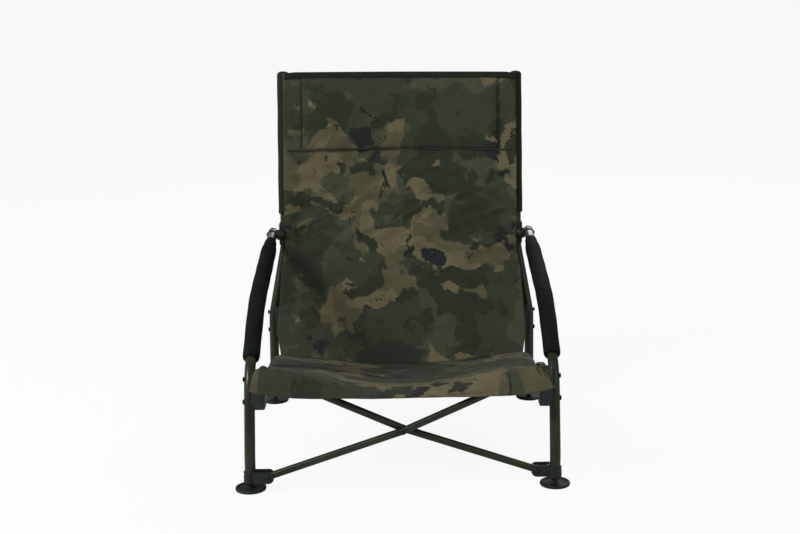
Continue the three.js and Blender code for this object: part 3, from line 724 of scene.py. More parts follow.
@dataclass
class SideFrame:
    """One side of the chair: arm and front leg, upright and rear leg, and what is fixed to them."""

    side: Side
    finishes: Finishes
    half_width: float = 0.268
    back_half_width: float = 0.243
    tube_radius: float = 0.0095
    tube_bottom: float = 0.0263
    pad_radius: float = 0.0152
    pad_start_share: float = 0.296
    pad_end_share: float = 0.925
    straight_top: float = 0.058
    arm_corners: tuple = ((0.034, 0.196), (0.190, 0.290))
    arm_end: tuple[float, float] = (0.548, 0.352)
    arm_bends: tuple = (0.06, 0.08, 0.32)
    rear_y: float = 0.5
    upright_knee: tuple[float, float] = (0.514, 0.185)
    upright_waist: tuple[float, float] = (0.545, 0.325)
    upright_end: tuple[float, float] = (0.612, 0.672)
    upright_bends: tuple = (0.06, 0.11, 0.11)
    line_points: int = 150
    pin_inset: float = 0.012
    collar_reach: tuple[float, float] = (0.013, 0.023)
    rivet_heights: tuple[float, float] = (0.153, 0.190)
    block_low: float = 0.140
    block_high: float = 0.203
    block_inner: float = 0.2405
    block_depth: float = 0.026

    def arm_path(self) -> Array:
        """The arm's centre line from the front foot hub to the arm's rear end."""
        x = self.side.value * self.half_width
        corners = [(0.0, self.tube_bottom), (0.0, self.straight_top), *self.arm_corners, self.arm_end]
        return bent_path(np.array([place(x, *corner) for corner in corners]), self.arm_bends)

    def upright_path(self) -> Array:
        """The upright's centre line from the rear foot hub to the top of the back."""
        x, b = self.side.value * self.half_width, self.side.value * self.back_half_width
        corners = [place(x, self.rear_y, self.tube_bottom), place(x, self.rear_y, self.straight_top),
                   place(x, *self.upright_knee), place(b, *self.upright_waist), place(b, *self.upright_end)]
        return bent_path(np.array(corners), self.upright_bends)

    def name(self, words: str) -> str:
        """A piece's or node's name on this side."""
        return f"{self.side.word}_{words}"

    def tubes(self) -> None:
        """The two bent tubes, each a circle carried along its centre line, and a light grey metal sleeve on
        the arm's rear end, a painted highlight for light on the tube's top.
        """
        f = self.finishes
        arm = resample(self.arm_path(), self.line_points)
        upright = resample(self.upright_path(), self.line_points)
        for words, path in (("arm_and_front_leg", arm), ("upright_and_rear_leg", upright)):
            dress(carried(self.name(words + "_tube"), path, self.tube_radius, 36), f.tube, self.side.frame,
                  "frame_tube", self.name(words))
        # The arm's rear end in light grey metal: a painted highlight where light falls on the olive tube's
        # top.
        end = part_of(arm, 0.910, 0.999, 12)
        dress(carried(self.name("arm_painted_highlight_end"), end, self.tube_radius + 0.0002, 36), f.painted_highlight_tube,
              self.side.frame,
              "frame_tube")
        ring = part_of(arm, 0.975, 0.984, 6)
        dress(carried(self.name("arm_end_ring"), ring, self.tube_radius + 0.0016, 36), f.plastic,
              self.side.frame,
              "dark_plastic")

    def pad(self) -> None:
        """The foam pad: a circle carried along the arm, swelling at mid length and gathered at the top.

        The radius is the pad's, less a soft rounding of both ends, plus shallow ripples that grow towards the
        gathered end.
        """
        path = part_of(self.arm_path(), self.pad_start_share, self.pad_end_share, self.line_points)
        t = np.linspace(0, 1, len(path))
        swell, rounding, drawn_in = 0.0006, 0.0030, 0.0042
        pleats, ripples, crease_depth = 0.0005, 0.00022, 0.00045
        gather_start = 0.86
        gather = np.clip((t - gather_start) / 0.14, 0, 1)
        radii = (self.pad_radius + swell * np.sin(np.pi * t) - rounding * np.exp(-t / 0.006)
                 - drawn_in * gather ** 1.6 + pleats * np.sin(85 * t) * gather
                 + ripples * np.sin(37 * t + 1.1))
        made = carried(self.name("arm_foam"), path, radii, 48)
        co = np.zeros(len(made.data.vertices) * 3)
        made.data.vertices.foreach_get("co", co)
        co = co.reshape(-1, 3)
        lines = np.sin(co[:, 1] * 160 + 2.2 * np.sin(co[:, 2] * 60))
        co[:, 2] += crease_depth * lines * np.sin(co[:, 0] * 300)
        made.data.vertices.foreach_set("co", co.ravel())
        made.data.update()
        dress(made, self.finishes.foam, self.side.frame, "foam_pad", self.name("arm_pad"))

    def caps(self) -> None:
        """Plug caps: a stem, a shoulder and a domed head along each tube's end."""
        for words, path in (("arm_cap", self.arm_path()), ("upright_cap", self.upright_path())):
            end, way = path[-1], unit(path[-1] - path[-2])
            reach = np.array([-0.005, 0.0002, 0.0003, 0.004, 0.006, 0.0070, 0.0078, 0.0082])
            radii = np.array([0.0076, 0.0076, 0.0095, 0.0097, 0.0092, 0.0077, 0.0050, 0.0018])
            dress(carried(self.name(words + "_plug"), end + reach[:, None] * way, radii, 32),
                  self.finishes.plastic,
                  self.side.frame, "dark_plastic", self.name(words))

    def bracket(self) -> None:
        """The arm's rear bracket: a collar round the upright, and the boss that the arm is pinned to."""
        arm, upright = self.arm_path(), self.upright_path()
        pin = arm[-1] - unit(arm[-1] - arm[-2]) * self.pin_inset
        middle = np.interp(pin[2], upright[:, 2], upright[:, 1])
        s = self.side.value
        deep, tall = self.collar_reach
        outline = rounded_box((middle - deep, pin[2] - tall), (middle + deep, pin[2] + tall), 0.005, 6)
        low, high = sorted((s * 0.231, s * 0.2541))
        body = moulded("collar", outline, low, high, "X", 0.0016)
        boss = turned("boss",
                      [[0, s * 0.243], [0.0108, s * 0.243], [0.0110, s * 0.2566], [0.0100, s * 0.2582],
                               [0, s * 0.2582]], (0, pin[1], pin[2]), "X", 36)
        dress(joined(self.name("arm_bracket_moulding"), body, boss), self.finishes.plastic, self.side.frame,
              "dark_plastic", self.name("arm_bracket"))
        self.rivet(pin[1], pin[2], 0.2513, self.name("arm_pin"))

    def rivet(self, y: float, z: float, inner: float, node: str) -> None:
        """A rivet along X: shank, thin washer and domed head on the tube's outer side."""
        s = self.side.value
        face = self.half_width + self.tube_radius + 0.0003
        outline = np.array([[0, inner], [0.0024, inner], [0.0024, face], [0.0048, face],
                            [0.0048, face + 0.0006],
                            [0.0044, face + 0.0013], [0.0033, face + 0.0021], [0.0016, face + 0.0025],
                            [0, face + 0.0026]])
        outline[:, 1] *= s
        dress(turned(node + "_rivet", outline, (0, y, z), "X", 24), self.finishes.rivet, self.side.frame,
              "rivet", node)

    def blocks(self) -> None:
        """The corner blocks: a rounded moulding beside each leg, with a raised panel and a gusset."""
        for end, path in ((End.FRONT, self.arm_path()), (End.REAR, self.upright_path())):
            low_part = path[:len(path) // 2]
            middle = float(np.interp((self.block_low + self.block_high) / 2, low_part[:, 2], low_part[:, 1]))
            s, near, far = self.side.value, self.block_inner, self.half_width - 0.004
            low, high, half = self.block_low, self.block_high, self.block_depth / 2
            body = moulded("body", rounded_box((s * near, low), (s * far, high), 0.003),
                           middle - half, middle + half, "Y", 0.0014)
            panel = rounded_box((s * (near + 0.004), low + 0.010), (s * (near + 0.012), high - 0.016), 0.0025)
            face = moulded("face", panel, middle - half - 0.0012, middle, "Y", 0.0008)
            rib = np.array([[s * (near + 0.002), low + 0.020], [s * (near - 0.017), high - 0.020],
                            [s * (near - 0.019), high - 0.013], [s * (near + 0.002), high - 0.008]])
            gusset = moulded("gusset", rounded_outline(rib, 0.002, 3), middle - 0.004, middle + 0.004, "Y",
                             0.0009)
            node = self.name(f"{end.word}_corner_block")
            dress(joined(node + "_moulding", body, face, gusset), self.finishes.block, self.side.frame,
                  "grey_plastic", node)
            for number, height in enumerate(self.rivet_heights, 1):
                y = float(np.interp(height, low_part[:, 2], low_part[:, 1]))
                self.rivet(y, height, near + 0.003, self.name(f"{end.word}_block_rivet_{number}"))

    def build(self) -> None:
        """Makes every piece of this side."""
        self.tubes()
        self.pad()
        self.caps()
        self.bracket()
        self.blocks()


@dataclass
class Foot:
    """A foot hub with its fork, and the rubber disc foot that turns in it on a ball."""

    side: Side
    end: End
    finishes: Finishes
    half_width: float = 0.268
    pivot_x: float = 0.236
    pivot_z: float = 0.026
    plane_offset: float = 0.0068
    ear_radius: float = 0.0105
    ear_thickness: float = 0.004
    ear_outer: float = 0.0088
    ear_tail_x: float = 0.2600
    ball_radius: float = 0.006
    ball_height: float = 0.0155

    def build(self) -> None:
        """Makes the hub, the disc and the fork's pin."""
        s, name = self.side.value, f"{self.side.word}_{self.end.word}"
        x, y = s * self.half_width, self.end.value + SHIFT
        plane = y + s * self.plane_offset
        collar = turned("collar",
                        [[0, 0.0118], [0.0096, 0.0115], [0.0112, 0.0125], [0.0118, 0.0150], [0.0118, 0.0262],
                                   [0.0112, 0.0280], [0.0111, 0.0300], [0.0116, 0.0312], [0.0116, 0.0336],
                                   [0.0108, 0.0346], [0.0098, 0.0346], [0, 0.0340]], (x, y, 0), "Z", 40)
        parts = [collar]
        for way in (1, -1):
            low = plane + way * self.ear_outer - self.ear_thickness / 2
            angle = np.linspace(-np.pi / 2, np.pi / 2, 15)
            nose = np.stack([s * (self.pivot_x - self.ear_radius * np.cos(angle)),
                             self.pivot_z + self.ear_radius * np.sin(angle)], 1)
            tail = np.array([[s * self.ear_tail_x, self.pivot_z + self.ear_radius],
                             [s * self.ear_tail_x, self.pivot_z - self.ear_radius]])
            parts.append(moulded("ear", np.concatenate([nose, tail]), low, low + self.ear_thickness, "Y",
                                 0.0009))
        root = rounded_box((s * 0.2522, 0.0157), (s * 0.2630, 0.0345), 0.002, 3)
        parts.append(moulded("root", root, plane - 0.0106, plane + 0.0106, "Y", 0.0009))
        dress(joined(f"{name}_foot_hub_moulding", *parts), self.finishes.plastic, self.side.frame,
              "dark_plastic",
              f"{name}_foot_hub")
        r = DISC_RADIUS
        disc = turned("disc", [[0, 0], [r - 0.002, 0], [r - 0.0006, 0.0005], [r, 0.0018], [r, 0.0036],
                               [r - 0.0006, 0.0050], [r - 0.0018, 0.0055], [r - 0.0042, 0.0055],
                               [r - 0.0054, 0.0050],
                               [r - 0.0062, 0.0041], [0.0120, 0.0039], [0.0075, 0.0042], [0.0050, 0.0055],
                               [0.0036, 0.0075], [0.0034, 0.0110], [0, 0.0112]], (x, y, 0), "Z", 56)
        angle = np.linspace(-np.pi / 2, np.pi / 2, 17)
        round_ball = [self.ball_radius * np.cos(angle), self.ball_height + self.ball_radius * np.sin(angle)]
        ball = turned("ball", np.stack(round_ball, 1), (x, y, 0), "Z", 32)
        dress(joined(f"{name}_disc_foot", disc, ball), self.finishes.rubber, f"{name}_foot", "foot_rubber",
              f"{name}_mud_foot")
        pin_along_y(f"{name}_lower_pin", s * self.pivot_x, plane - 0.0111, plane + 0.0111, self.pivot_z,
                    self.finishes, self.side.frame)


def pin_along_y(node: str, x: float, low: float, high: float, z: float, finishes: Finishes,
                body: str) -> None:
    """A pin along Y with a low domed head at both ends, in place of its CAD node."""
    made = turned(node + "_turned", [[0, low - 0.0022], [0.0030, low - 0.0020], [0.0046, low - 0.0012],
                                     [0.0050, low - 0.0004], [0.0050, low], [0.0025, low], [0.0025, high],
                                     [0.0050, high], [0.0050, high + 0.0004], [0.0046, high + 0.0012],
                                     [0.0030, high + 0.0020], [0, high + 0.0022]], (x, 0, z), "Y", 28)
    dress(made, finishes.rivet, body, "rivet", node)


@dataclass
class CrossBars:
    """The scissor pair of kinked bars at one end of the chair."""

    end: End
    finishes: Finishes
    lower_x: float = 0.236
    lower_z: float = 0.026
    upper_x: float = 0.241
    upper_z: float = 0.214
    crossing_z: float = 0.106
    radius: float = 0.0065
    eye_radius: float = 0.008
    eye_half_width: float = 0.0065
    tube_inset: float = 0.004
    kink_radius: float = 0.06
    plane_offset: float = 0.0068

    def bar(self, low_side: Side, letter: str) -> None:
        """One bar: a circle carried from the low pivot over the crossing to the high one, with two eyes."""
        s, y = low_side.value, self.end.value + SHIFT
        plane = y + s * self.plane_offset
        low = np.array([s * self.lower_x, plane, self.lower_z])
        high = np.array([-s * self.upper_x, plane, self.upper_z])
        middle = np.array([0.0, plane, self.crossing_z])
        first, last = low + unit(middle - low) * self.tube_inset, high + unit(middle - high) * self.tube_inset
        line = bent_path(np.array([first, middle, last]), (self.kink_radius,), 8)
        parts = [carried("run", resample(line, 90), self.radius, 32)]
        half, rim = self.eye_half_width, self.eye_radius
        outline = [[0, plane - half], [0.0068, plane - half], [rim, plane - 0.0055],
                   [rim, plane + 0.0055], [0.0068, plane + half], [0, plane + half]]
        for eye in (low, high):
            parts.append(turned("eye", outline, (eye[0], 0, eye[2]), "Y", 32))
        node = f"{self.end.word}_cross_bar_{letter}"
        dress(joined(node + "_tube", *parts), self.finishes.tube, f"cross_{letter}", "frame_tube", node)

    def build(self) -> None:
        """Makes both bars, the crossing pin, and the hangers' pins."""
        self.bar(Side.LEFT, "a")
        self.bar(Side.RIGHT, "b")
        y = self.end.value + SHIFT
        pin_along_y(f"{self.end.word}_crossing_pin", 0, y - 0.0139, y + 0.0139, self.crossing_z,
                    self.finishes, "cross_a")
        for side in Side:
            node = f"{side.word}_{self.end.word}_hanger_pin"
            pin_along_y(node, side.value * self.upper_x, y - 0.0136, y + 0.0136, self.upper_z, self.finishes,
                        side.hangers)
            refinish(f"{side.word}_{self.end.word}_seat_hanger", self.finishes.block)


# Cloth


def arc_lengths(points: Array, axis: int) -> Array:
    """Running length along one direction of a grid of points."""
    steps = np.linalg.norm(np.diff(points, axis=axis), axis=-1)
    pad = [(0, 0), (0, 0)]
    pad[axis] = (1, 0)
    return np.cumsum(np.pad(steps, pad), axis=axis)


def normals_of(points: Array) -> Array:
    """Unit normals of a grid of points."""
    return unit(np.cross(np.gradient(points, axis=1), np.gradient(points, axis=0)))


def waves(u: Array, v: Array, seed: int, count: int, longest: float, shortest: float,
          lean: tuple[float, float]) -> Array:
    """Folds of pulled cloth: a sum of sines with their own direction and length, each sharpened on its ridge.

    Args:
        u: place across, in metres.
        v: place along, in metres.
        seed: seed of the directions and phases.
        count: how many sines.
        longest: longest wave in metres.
        shortest: shortest wave in metres.
        lean: lowest and highest angle of a wave's run from the v direction, in radians.

    Returns:
        Heights, about -1 to 1.
    """
    draw = np.random.default_rng(seed)
    total, weight = np.zeros_like(u), 0.0
    for _ in range(count):
        angle, length = draw.uniform(*lean), math.exp(draw.uniform(math.log(shortest), math.log(longest)))
        phase, size = draw.uniform(0, 2 * math.pi), length / longest
        bend = 0.3 * np.sin(2 * math.pi * (u + v) / (3.1 * length) + draw.uniform(0, 6))
        turn = 2 * math.pi * (u * math.cos(angle) + v * math.sin(angle)) / length + phase + bend
        reach = 0.5 + 0.5 * np.sin(2 * math.pi * (v - 0.6 * u) / (4.3 * length) + draw.uniform(0, 6))
        ridge = 1 - np.abs(np.sin(turn / 2)) ** 0.8 * 2
        total += size * ridge * reach
        weight += size * 0.6
    return total / weight


def eased(share: Array) -> Array:
    """A share held between 0 and 1 and eased at both ends, as 3 squares less 2 cubes."""
    held = np.clip(share, 0, 1)
    return held * held * (3 - 2 * held)


def grid_uvs(points: Array, u_start: float, v_start: float) -> Array:
    """Cloth places of a grid in metres: the middle row's run across and the middle column's run along."""
    across = arc_lengths(points, 1)
    along = arc_lengths(points, 0)
    middle = across.shape[1] // 2
    u = across - across[:, middle:middle + 1] + u_start
    v = np.repeat(along[:, middle:middle + 1], across.shape[1], 1) + v_start
    return np.stack([u, v], -1).reshape(-1, 2)


def sheet_mesh(name: str, points: Array, uvs: Array) -> bpy.types.Object:
    """A cloth sheet: its grid as quads, given its thickness by Solidify."""
    rows, columns = points.shape[:2]
    made = make_mesh(name, points.reshape(-1, 3), grid_faces(rows, columns).tolist(), uvs)
    wall = made.modifiers.new("cloth_thickness", "SOLIDIFY")
    wall.thickness, wall.offset = CLOTH_THICKNESS, 0.0
    return made


def band(name: str, path: Array, across: Array, out: Array, width: float, rise: float,
         steps: int = 12) -> bpy.types.Object:
    """A sewn strip: a closed lens profile carried along a path.

    A point is the path's point plus half the width times a blunted cosine of the profile's angle, along the
    across direction, and plus the rise times a blunted sine on the outside, or a fifth of the sine inside.

    Args:
        name: the piece's name.
        path: n x 3 middle line.
        across: n x 3 or 3 unit directions along the strip's width.
        out: n x 3 or 3 unit directions away from what carries it.
        width: the strip's width.
        rise: how far its middle stands up.
        steps: points round half of the profile.

    Returns:
        The closed mesh, with its cloth map.
    """
    count = len(path)
    across, out = np.broadcast_to(across, (count, 3)), np.broadcast_to(out, (count, 3))
    angle = np.linspace(0, 2 * np.pi, 2 * steps + 1)
    side = np.sign(np.cos(angle)) * np.abs(np.cos(angle)) ** 0.6 * width / 2
    up = np.where(np.sin(angle) > 0, np.abs(np.sin(angle)) ** 0.6 * rise, -0.2 * rise * np.abs(np.sin(angle)))
    ends = np.ones(count + 2)
    ends[[0, -1]] = 0
    full = [np.concatenate([a[:1], a, a[-1:]]) for a in (path, across, out)]
    points = (full[0][:, None] + full[1][:, None] * (side[None, :, None] * ends[:, None, None])
              + full[2][:, None] * (up[None, :, None] * ends[:, None, None]))
    run = np.concatenate([[0], np.cumsum(np.linalg.norm(np.diff(full[0], axis=0), axis=1))])
    uvs = np.stack(np.broadcast_arrays(side[None, :] + 0.003 * np.sin(angle)[None, :], run[:, None]), -1)
    faces = grid_faces(count + 2, len(angle)).tolist()
    return face_outwards(make_mesh(name, points.reshape(-1, 3), faces, uvs.reshape(-1, 2)))


@dataclass
class SeatCloth:
    """The slung seat: one sheet from its front hem to the crease, hanging between the two side edges."""

    finishes: Finishes
    half_width: float = 0.248
    edge_height: float = 0.236
    rear_height: float = 0.124
    front_y: float = -0.022
    rear_y: float = 0.415
    front_sag: float = 0.048
    rear_sag: float = 0.022
    belly: float = 0.006
    hem_share: float = 0.153846
    roll_start: float = 0.92
    corner_fall: float = 0.030
    hanger_reach: float = 0.2492
    front_round: float = 0.013
    front_set: float = -0.014
    near_share: float = 0.23
    fade_share: float = 0.75
    shoulder_fall: float = 0.011
    roll_width: float = 0.0078
    hem_flare: float = 0.006
    hem_lean: float = 0.008
    cloth_place: float = 0.72
    hem_height: float = 0.171
    hem_rise: float = 0.017
    rows: int = 150
    columns: int = 170

    def surface(self, u: Array, v: Array) -> Array:
        """The seat's middle surface at shares across (-1 to 1) and along (0 hem, 1 crease).

        Behind the hem the side edges run straight down to the crease, and the middle hangs below them by the
        sag times (1 - u squared) to the 1.5, with a belly half way. The hem turns down over the front edge.
        At the front corners the sheet rolls outwards and down over the hanger, by a quarter turn, and the
        roll fades towards the crease.
        """
        reach = np.abs(u)
        down = np.clip(1 - v / self.hem_share, 0, 1)
        share = np.clip((v - self.hem_share) / (1 - self.hem_share), 0, 1)
        near, fading = np.clip(1 - share / self.near_share, 0, 1), eased(1 - share / self.fade_share)
        roll = np.clip((reach - self.roll_start) / (1 - self.roll_start), 0, 1)
        over = np.minimum(reach / self.roll_start, 1) * self.hanger_reach
        across = np.clip(near * over / self.half_width + (1 - near) * reach, 0, 1)
        sag = self.front_sag + share * (self.rear_sag - self.front_sag) + self.belly * np.sin(np.pi * share)
        shoulder = self.shoulder_fall * eased((reach - 0.6) / 0.32)
        fall = fading * (shoulder + self.corner_fall * (1 - np.cos(np.pi / 2 * roll)))
        z_seat = self.edge_height + share * (self.rear_height - self.edge_height) - fall
        rounding = np.clip(1 - share / 0.16, 0, 1) ** 2 * eased((0.82 - reach) / 0.4)
        z_seat = z_seat - self.front_round * rounding
        hem = self.hem_height + self.hem_rise * reach ** 6
        z = (z_seat - sag * (1 - across ** 2) ** 1.5) * (1 - down) + hem * down
        y_seat = self.front_set + share * (self.rear_y - self.front_set)
        y = np.where(down > 0, self.front_y + self.hem_lean * (1 - down) ** 3, y_seat)
        wide = (near * (over + self.roll_width * np.sin(np.pi / 2 * roll))
                + (1 - near) * reach * self.half_width + self.hem_flare * roll * np.sqrt(down))
        return np.stack([np.sign(u) * wide, y + SHIFT, z], -1)

    def build(self) -> None:
        """Makes the seat's sheet, with its folds and the thick rim of its hem."""
        v, u = np.meshgrid(np.linspace(0, 1, self.rows), np.linspace(-1, 1, self.columns), indexing="ij")
        points = self.surface(u, v)
        inner = np.clip((1 - np.abs(u)) / 0.10, 0, 1) * np.clip((1 - v) / 0.05, 0, 1)
        folds = waves(points[..., 0], v * 0.45, 11, 9, 0.16, 0.05, (-0.7, 0.7))
        pull = waves(points[..., 0], v * 0.45, 12, 6, 0.07, 0.03, (1.2, 1.9))
        rim = np.exp(-((v - 0.012) / 0.016) ** 4) - 0.4 * np.exp(-((v - 0.036) / 0.006) ** 2)
        fold_height, pull_height, rim_height = 0.0024, 0.0022, 0.0009
        pulled = pull_height * pull * (0.35 + np.clip(1 - v / 0.3, 0, 1))
        height = (fold_height * folds + pulled) * inner + rim_height * rim
        points = points + normals_of(points) * height[..., None]
        uvs = grid_uvs(points, self.cloth_place, 0.0)
        sheet = sheet_mesh("seat_cloth", points, uvs)
        dress(sheet, self.finishes.cloth, "left_hangers", "cloth", "seat_sling")
        self.squash(sheet)

    def squash(self, piece: bpy.types.Object) -> None:
        """Gives a seat piece its own copy of its mesh."""
        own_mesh(piece)


@dataclass
class BackCloth:
    """The back: a sheet from the seat's crease to the top, its sleeves, binding and head pocket."""

    finishes: Finishes
    frames: dict
    crease: tuple[float, float, float] = (0.415, 0.124, 0.022)
    lower_top: tuple[float, float] = (0.531, 0.312)
    bracket_top: float = 0.385
    top: float = 0.680
    half_width: float = 0.243
    narrow_half: float = 0.2420
    crease_half: float = 0.247
    sleeve_radius: float = 0.0128
    belly: float = 0.016
    lower_belly: float = 0.010
    sleeve_start: float = 0.3905
    sleeve_rows: int = 90
    dome_rows: int = 8
    sleeve_sides: int = 41
    sleeve_thickness: float = 0.0012
    cloth_place: float = 0.46
    pocket_low: float = 0.5225
    pocket_high: float = 0.6695
    pocket_half: float = 0.2035
    seam_lift: float = 0.0006
    rows: int = 230
    columns: int = 170

    def upright_y(self, z: Array) -> Array:
        """The upright's line at a height, on its straight upper stretch carried on."""
        path = resample(self.frames[Side.LEFT].upright_path(), 400)
        upper = path[path[:, 2] > 0.24]
        slope = (upper[-1, 1] - upper[-8, 1]) / (upper[-1, 2] - upper[-8, 2])
        return np.interp(z, upper[:, 2], upper[:, 1]) + np.clip(z - upper[-1, 2], 0, None) * slope

    def surface(self, u: Array, z: Array) -> Array:
        """The back's middle surface at a share across and an edge height.

        Below the join it runs straight from the crease to the lower back's top, hanging back by the belly
        times (1 - u squared) to the 1.5. Above, it lies on the sleeves' front at its edges and hangs back in
        the middle by the belly times (1 - u squared) times a sine of the height.
        """
        (cy, cz, cs), (ly, lz) = self.crease, self.lower_top
        sag = np.clip(1 - u ** 2, 0, 1)
        low = np.clip((z - cz) / (lz - cz), 0, 1)
        low_y = cy + low * (ly - cy) + SHIFT + self.lower_belly * np.sin(np.pi * low) * sag ** 1.5
        low_z = z - cs * sag ** 1.5 * (1 - low)
        up = np.clip((z - lz) / (self.top - lz), 0, 1)
        rise = eased((z - 0.285) / 0.03)
        front = (self.sleeve_radius + 0.0022) * rise * (0.25 + 0.75 * np.abs(u) ** 1.6)
        up_y = self.upright_y(z) - front + self.belly * sag ** 2 * np.sin(np.pi * up)
        share = eased((z - lz + 0.03) / 0.06)
        heights = [cz, cz + 0.04, lz - 0.03, lz + 0.013, self.bracket_top, self.bracket_top + 0.02]
        half = np.interp(z, heights, [self.crease_half, 0.2545, 0.2490, self.narrow_half, self.narrow_half,
                                      self.half_width])
        return np.stack([u * half, low_y * (1 - share) + up_y * share, np.where(z < lz, low_z, z)], -1)

    def squash(self, piece: bpy.types.Object) -> None:
        """Gives a back piece its own copy of its mesh."""
        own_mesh(piece)

    def relief(self, u: Array, x: Array, z: Array) -> Array:
        """The back's folds: slack ones above the seat, short pulls beside the sleeves, a flat head end."""
        slack = np.exp(-((z - 0.40) / 0.12) ** 2)
        low = waves(x, z, 21, 10, 0.17, 0.055, (0.9, 2.3))
        pulls = waves(x, z, 22, 7, 0.06, 0.025, (1.0, 2.1)) * np.clip((np.abs(u) - 0.55) / 0.4, 0, 1)
        creases = waves(x, z, 23, 12, 0.085, 0.022, (0.8, 2.4))
        ends = np.clip((z - self.crease[1]) / 0.02, 0, 1) * np.clip((0.675 - z) / 0.05, 0, 1)
        long_folds = 0.0060 * slack * low + 0.0012 * low
        hold = eased((1 - np.abs(u)) / 0.16) * ends
        return (long_folds + 0.0040 * pulls + 0.0080 * (0.22 + slack) * creases) * hold

    def build(self) -> None:
        """Makes the sheet, the sleeves, the binding and the head pocket."""
        share, u = np.meshgrid(np.linspace(0, 1, self.rows), np.linspace(-1, 1, self.columns), indexing="ij")
        z = self.crease[1] + share * (self.top - self.crease[1])
        points = self.surface(u, z)
        points = points + normals_of(points) * self.relief(u, points[..., 0], z)[..., None]
        uvs = grid_uvs(points, 0.0, self.cloth_place)
        sheet = sheet_mesh("back_cloth", points, uvs)
        dress(sheet, self.finishes.cloth, "left_frame", "cloth", "back_panel")
        self.squash(sheet)
        self.sleeves()
        self.head_pocket()
        self.top_edge()
        self.seams()

    def sleeves(self) -> None:
        """The sleeves over both uprights, with domed tops, that bind the back's sides; their dark green is
        partly the binding's own colour and partly painted shade of the sleeves' curved sides.
        """
        for side, frame_side in self.frames.items():
            path = resample(frame_side.upright_path(), 1200)
            run = resample(path[path[:, 2] > self.sleeve_start], self.sleeve_rows)
            way = unit(run[-1] - run[-2])
            dome = np.linspace(0.003, 0.0105, self.dome_rows)[:, None] * way + run[-1]
            line = np.concatenate([run, dome])
            closing = np.sqrt(np.clip(1 - (np.linspace(0, 1, self.dome_rows) ** 2) * 0.93, 0, 1))
            radii = self.sleeve_radius * np.concatenate([np.ones(self.sleeve_rows), closing])
            count = len(line)
            angle = np.linspace(0, 2 * np.pi, self.sleeve_sides)
            first, second = cross_directions(line)
            crumple = 1 + 0.02 * np.sin(angle[None] * 3 + np.arange(count)[:, None] * 0.21)
            ring = first[:, None] * np.cos(angle)[None, :, None] + second[:, None] * np.sin(angle)[None, :,
                                                                                                   None]
            ends = np.ones(count)
            ends[-1] = 0
            points = line[:, None] + ring * (radii[:, None] * crumple * ends[:, None])[..., None]
            points[:, -1] = points[:, 0]
            uvs = np.stack(np.broadcast_arrays(side.value * 0.25 + angle[None] * self.sleeve_radius,
                                               line[:, 2:3] + 0.2), -1)
            made = make_mesh(f"{side.word}_back_sleeve_cloth", points.reshape(-1, 3),
                             grid_faces(count, self.sleeve_sides).tolist(), uvs.reshape(-1, 2))
            face_outwards(made)
            wall = made.modifiers.new("cloth_thickness", "SOLIDIFY")
            wall.thickness, wall.offset = self.sleeve_thickness, -1.0
            # Sleeve colour: partly the binding's own dark green, partly painted shade of the curved sides.
            dress(made, self.finishes.binding, side.frame, "cloth", f"{side.word}_back_sleeve")

    def top_edge(self) -> bpy.types.Object:
        """The binding folded over the top edge."""
        u = np.linspace(-0.985, 0.985, 120)
        path = self.surface(u, np.full(len(u), self.top - 0.0055))
        path[:, 2] -= 0.003 * np.clip((np.abs(u) - 0.88) / 0.105, 0, 1) ** 2
        rim = band("back_top_binding", path, np.array([0, 0.19, 0.98]), np.array([0, -0.98, 0.19]), 0.014,
                   0.0034)
        dress(rim, self.finishes.binding, "left_frame", "cloth")
        self.squash(rim)
        return rim

    def head_pocket(self) -> None:
        """The padded head pocket: a crowned closed form whose front bulges away from its sewn edges.

        The front stands off the sheet by the fill times the roots of (1 - u to the 7th) and of
        (1 - v to the 4th), with folds drawn in from the seams.
        """
        rows, columns = 70, 190
        v, u = np.meshgrid(np.linspace(-1, 1, rows), np.linspace(-1, 1, columns), indexing="ij")
        low, high, half = self.pocket_low, self.pocket_high, self.pocket_half
        z = (low + high) / 2 + v * (high - low) / 2
        panel = self.surface(u * half / self.half_width, z)
        crown = np.sqrt(np.clip(1 - np.abs(u) ** 7, 0, 1)) * np.sqrt(np.clip(1 - np.abs(v) ** 4, 0, 1))
        pull = waves(panel[..., 0], z, 31, 8, 0.07, 0.022, (-0.4, 0.4)) * np.clip((np.abs(v) - 0.35) / 0.5, 0,
                                                                                  1)
        broad = waves(panel[..., 0], z, 32, 6, 0.19, 0.09, (-0.6, 0.9))
        rise = 0.0012 + crown * (0.0088 + 0.0012 * broad + 0.0013 * pull)
        outwards = np.array([0, -1.0, 0.19]) / 1.018
        front = panel + outwards * rise[..., None]
        back = panel + outwards * self.seam_lift
        uvs = np.stack([u * half, self.cloth_place + z - self.crease[1] + 0.06], -1).reshape(-1, 2)
        faces = grid_faces(rows, columns)
        count = rows * columns
        rim = np.concatenate([np.arange(columns), np.arange(columns - 1, count, columns)[1:],
                              np.arange(count - 1, count - columns - 1, -1)[1:],
                              np.arange(count - columns, -1, -columns)[1:]])
        walls = np.stack([rim[:-1], rim[1:], rim[1:] + count, rim[:-1] + count], 1)
        made = make_mesh("head_pocket_pad", np.concatenate([front.reshape(-1, 3), back.reshape(-1, 3)]),
                         np.concatenate([faces, faces[:, ::-1] + count, walls]).tolist(),
                         np.concatenate([uvs, uvs]))
        face_outwards(made)
        dress(made, self.finishes.cloth, "left_frame", "cloth", "head_pocket")
        self.squash(made)

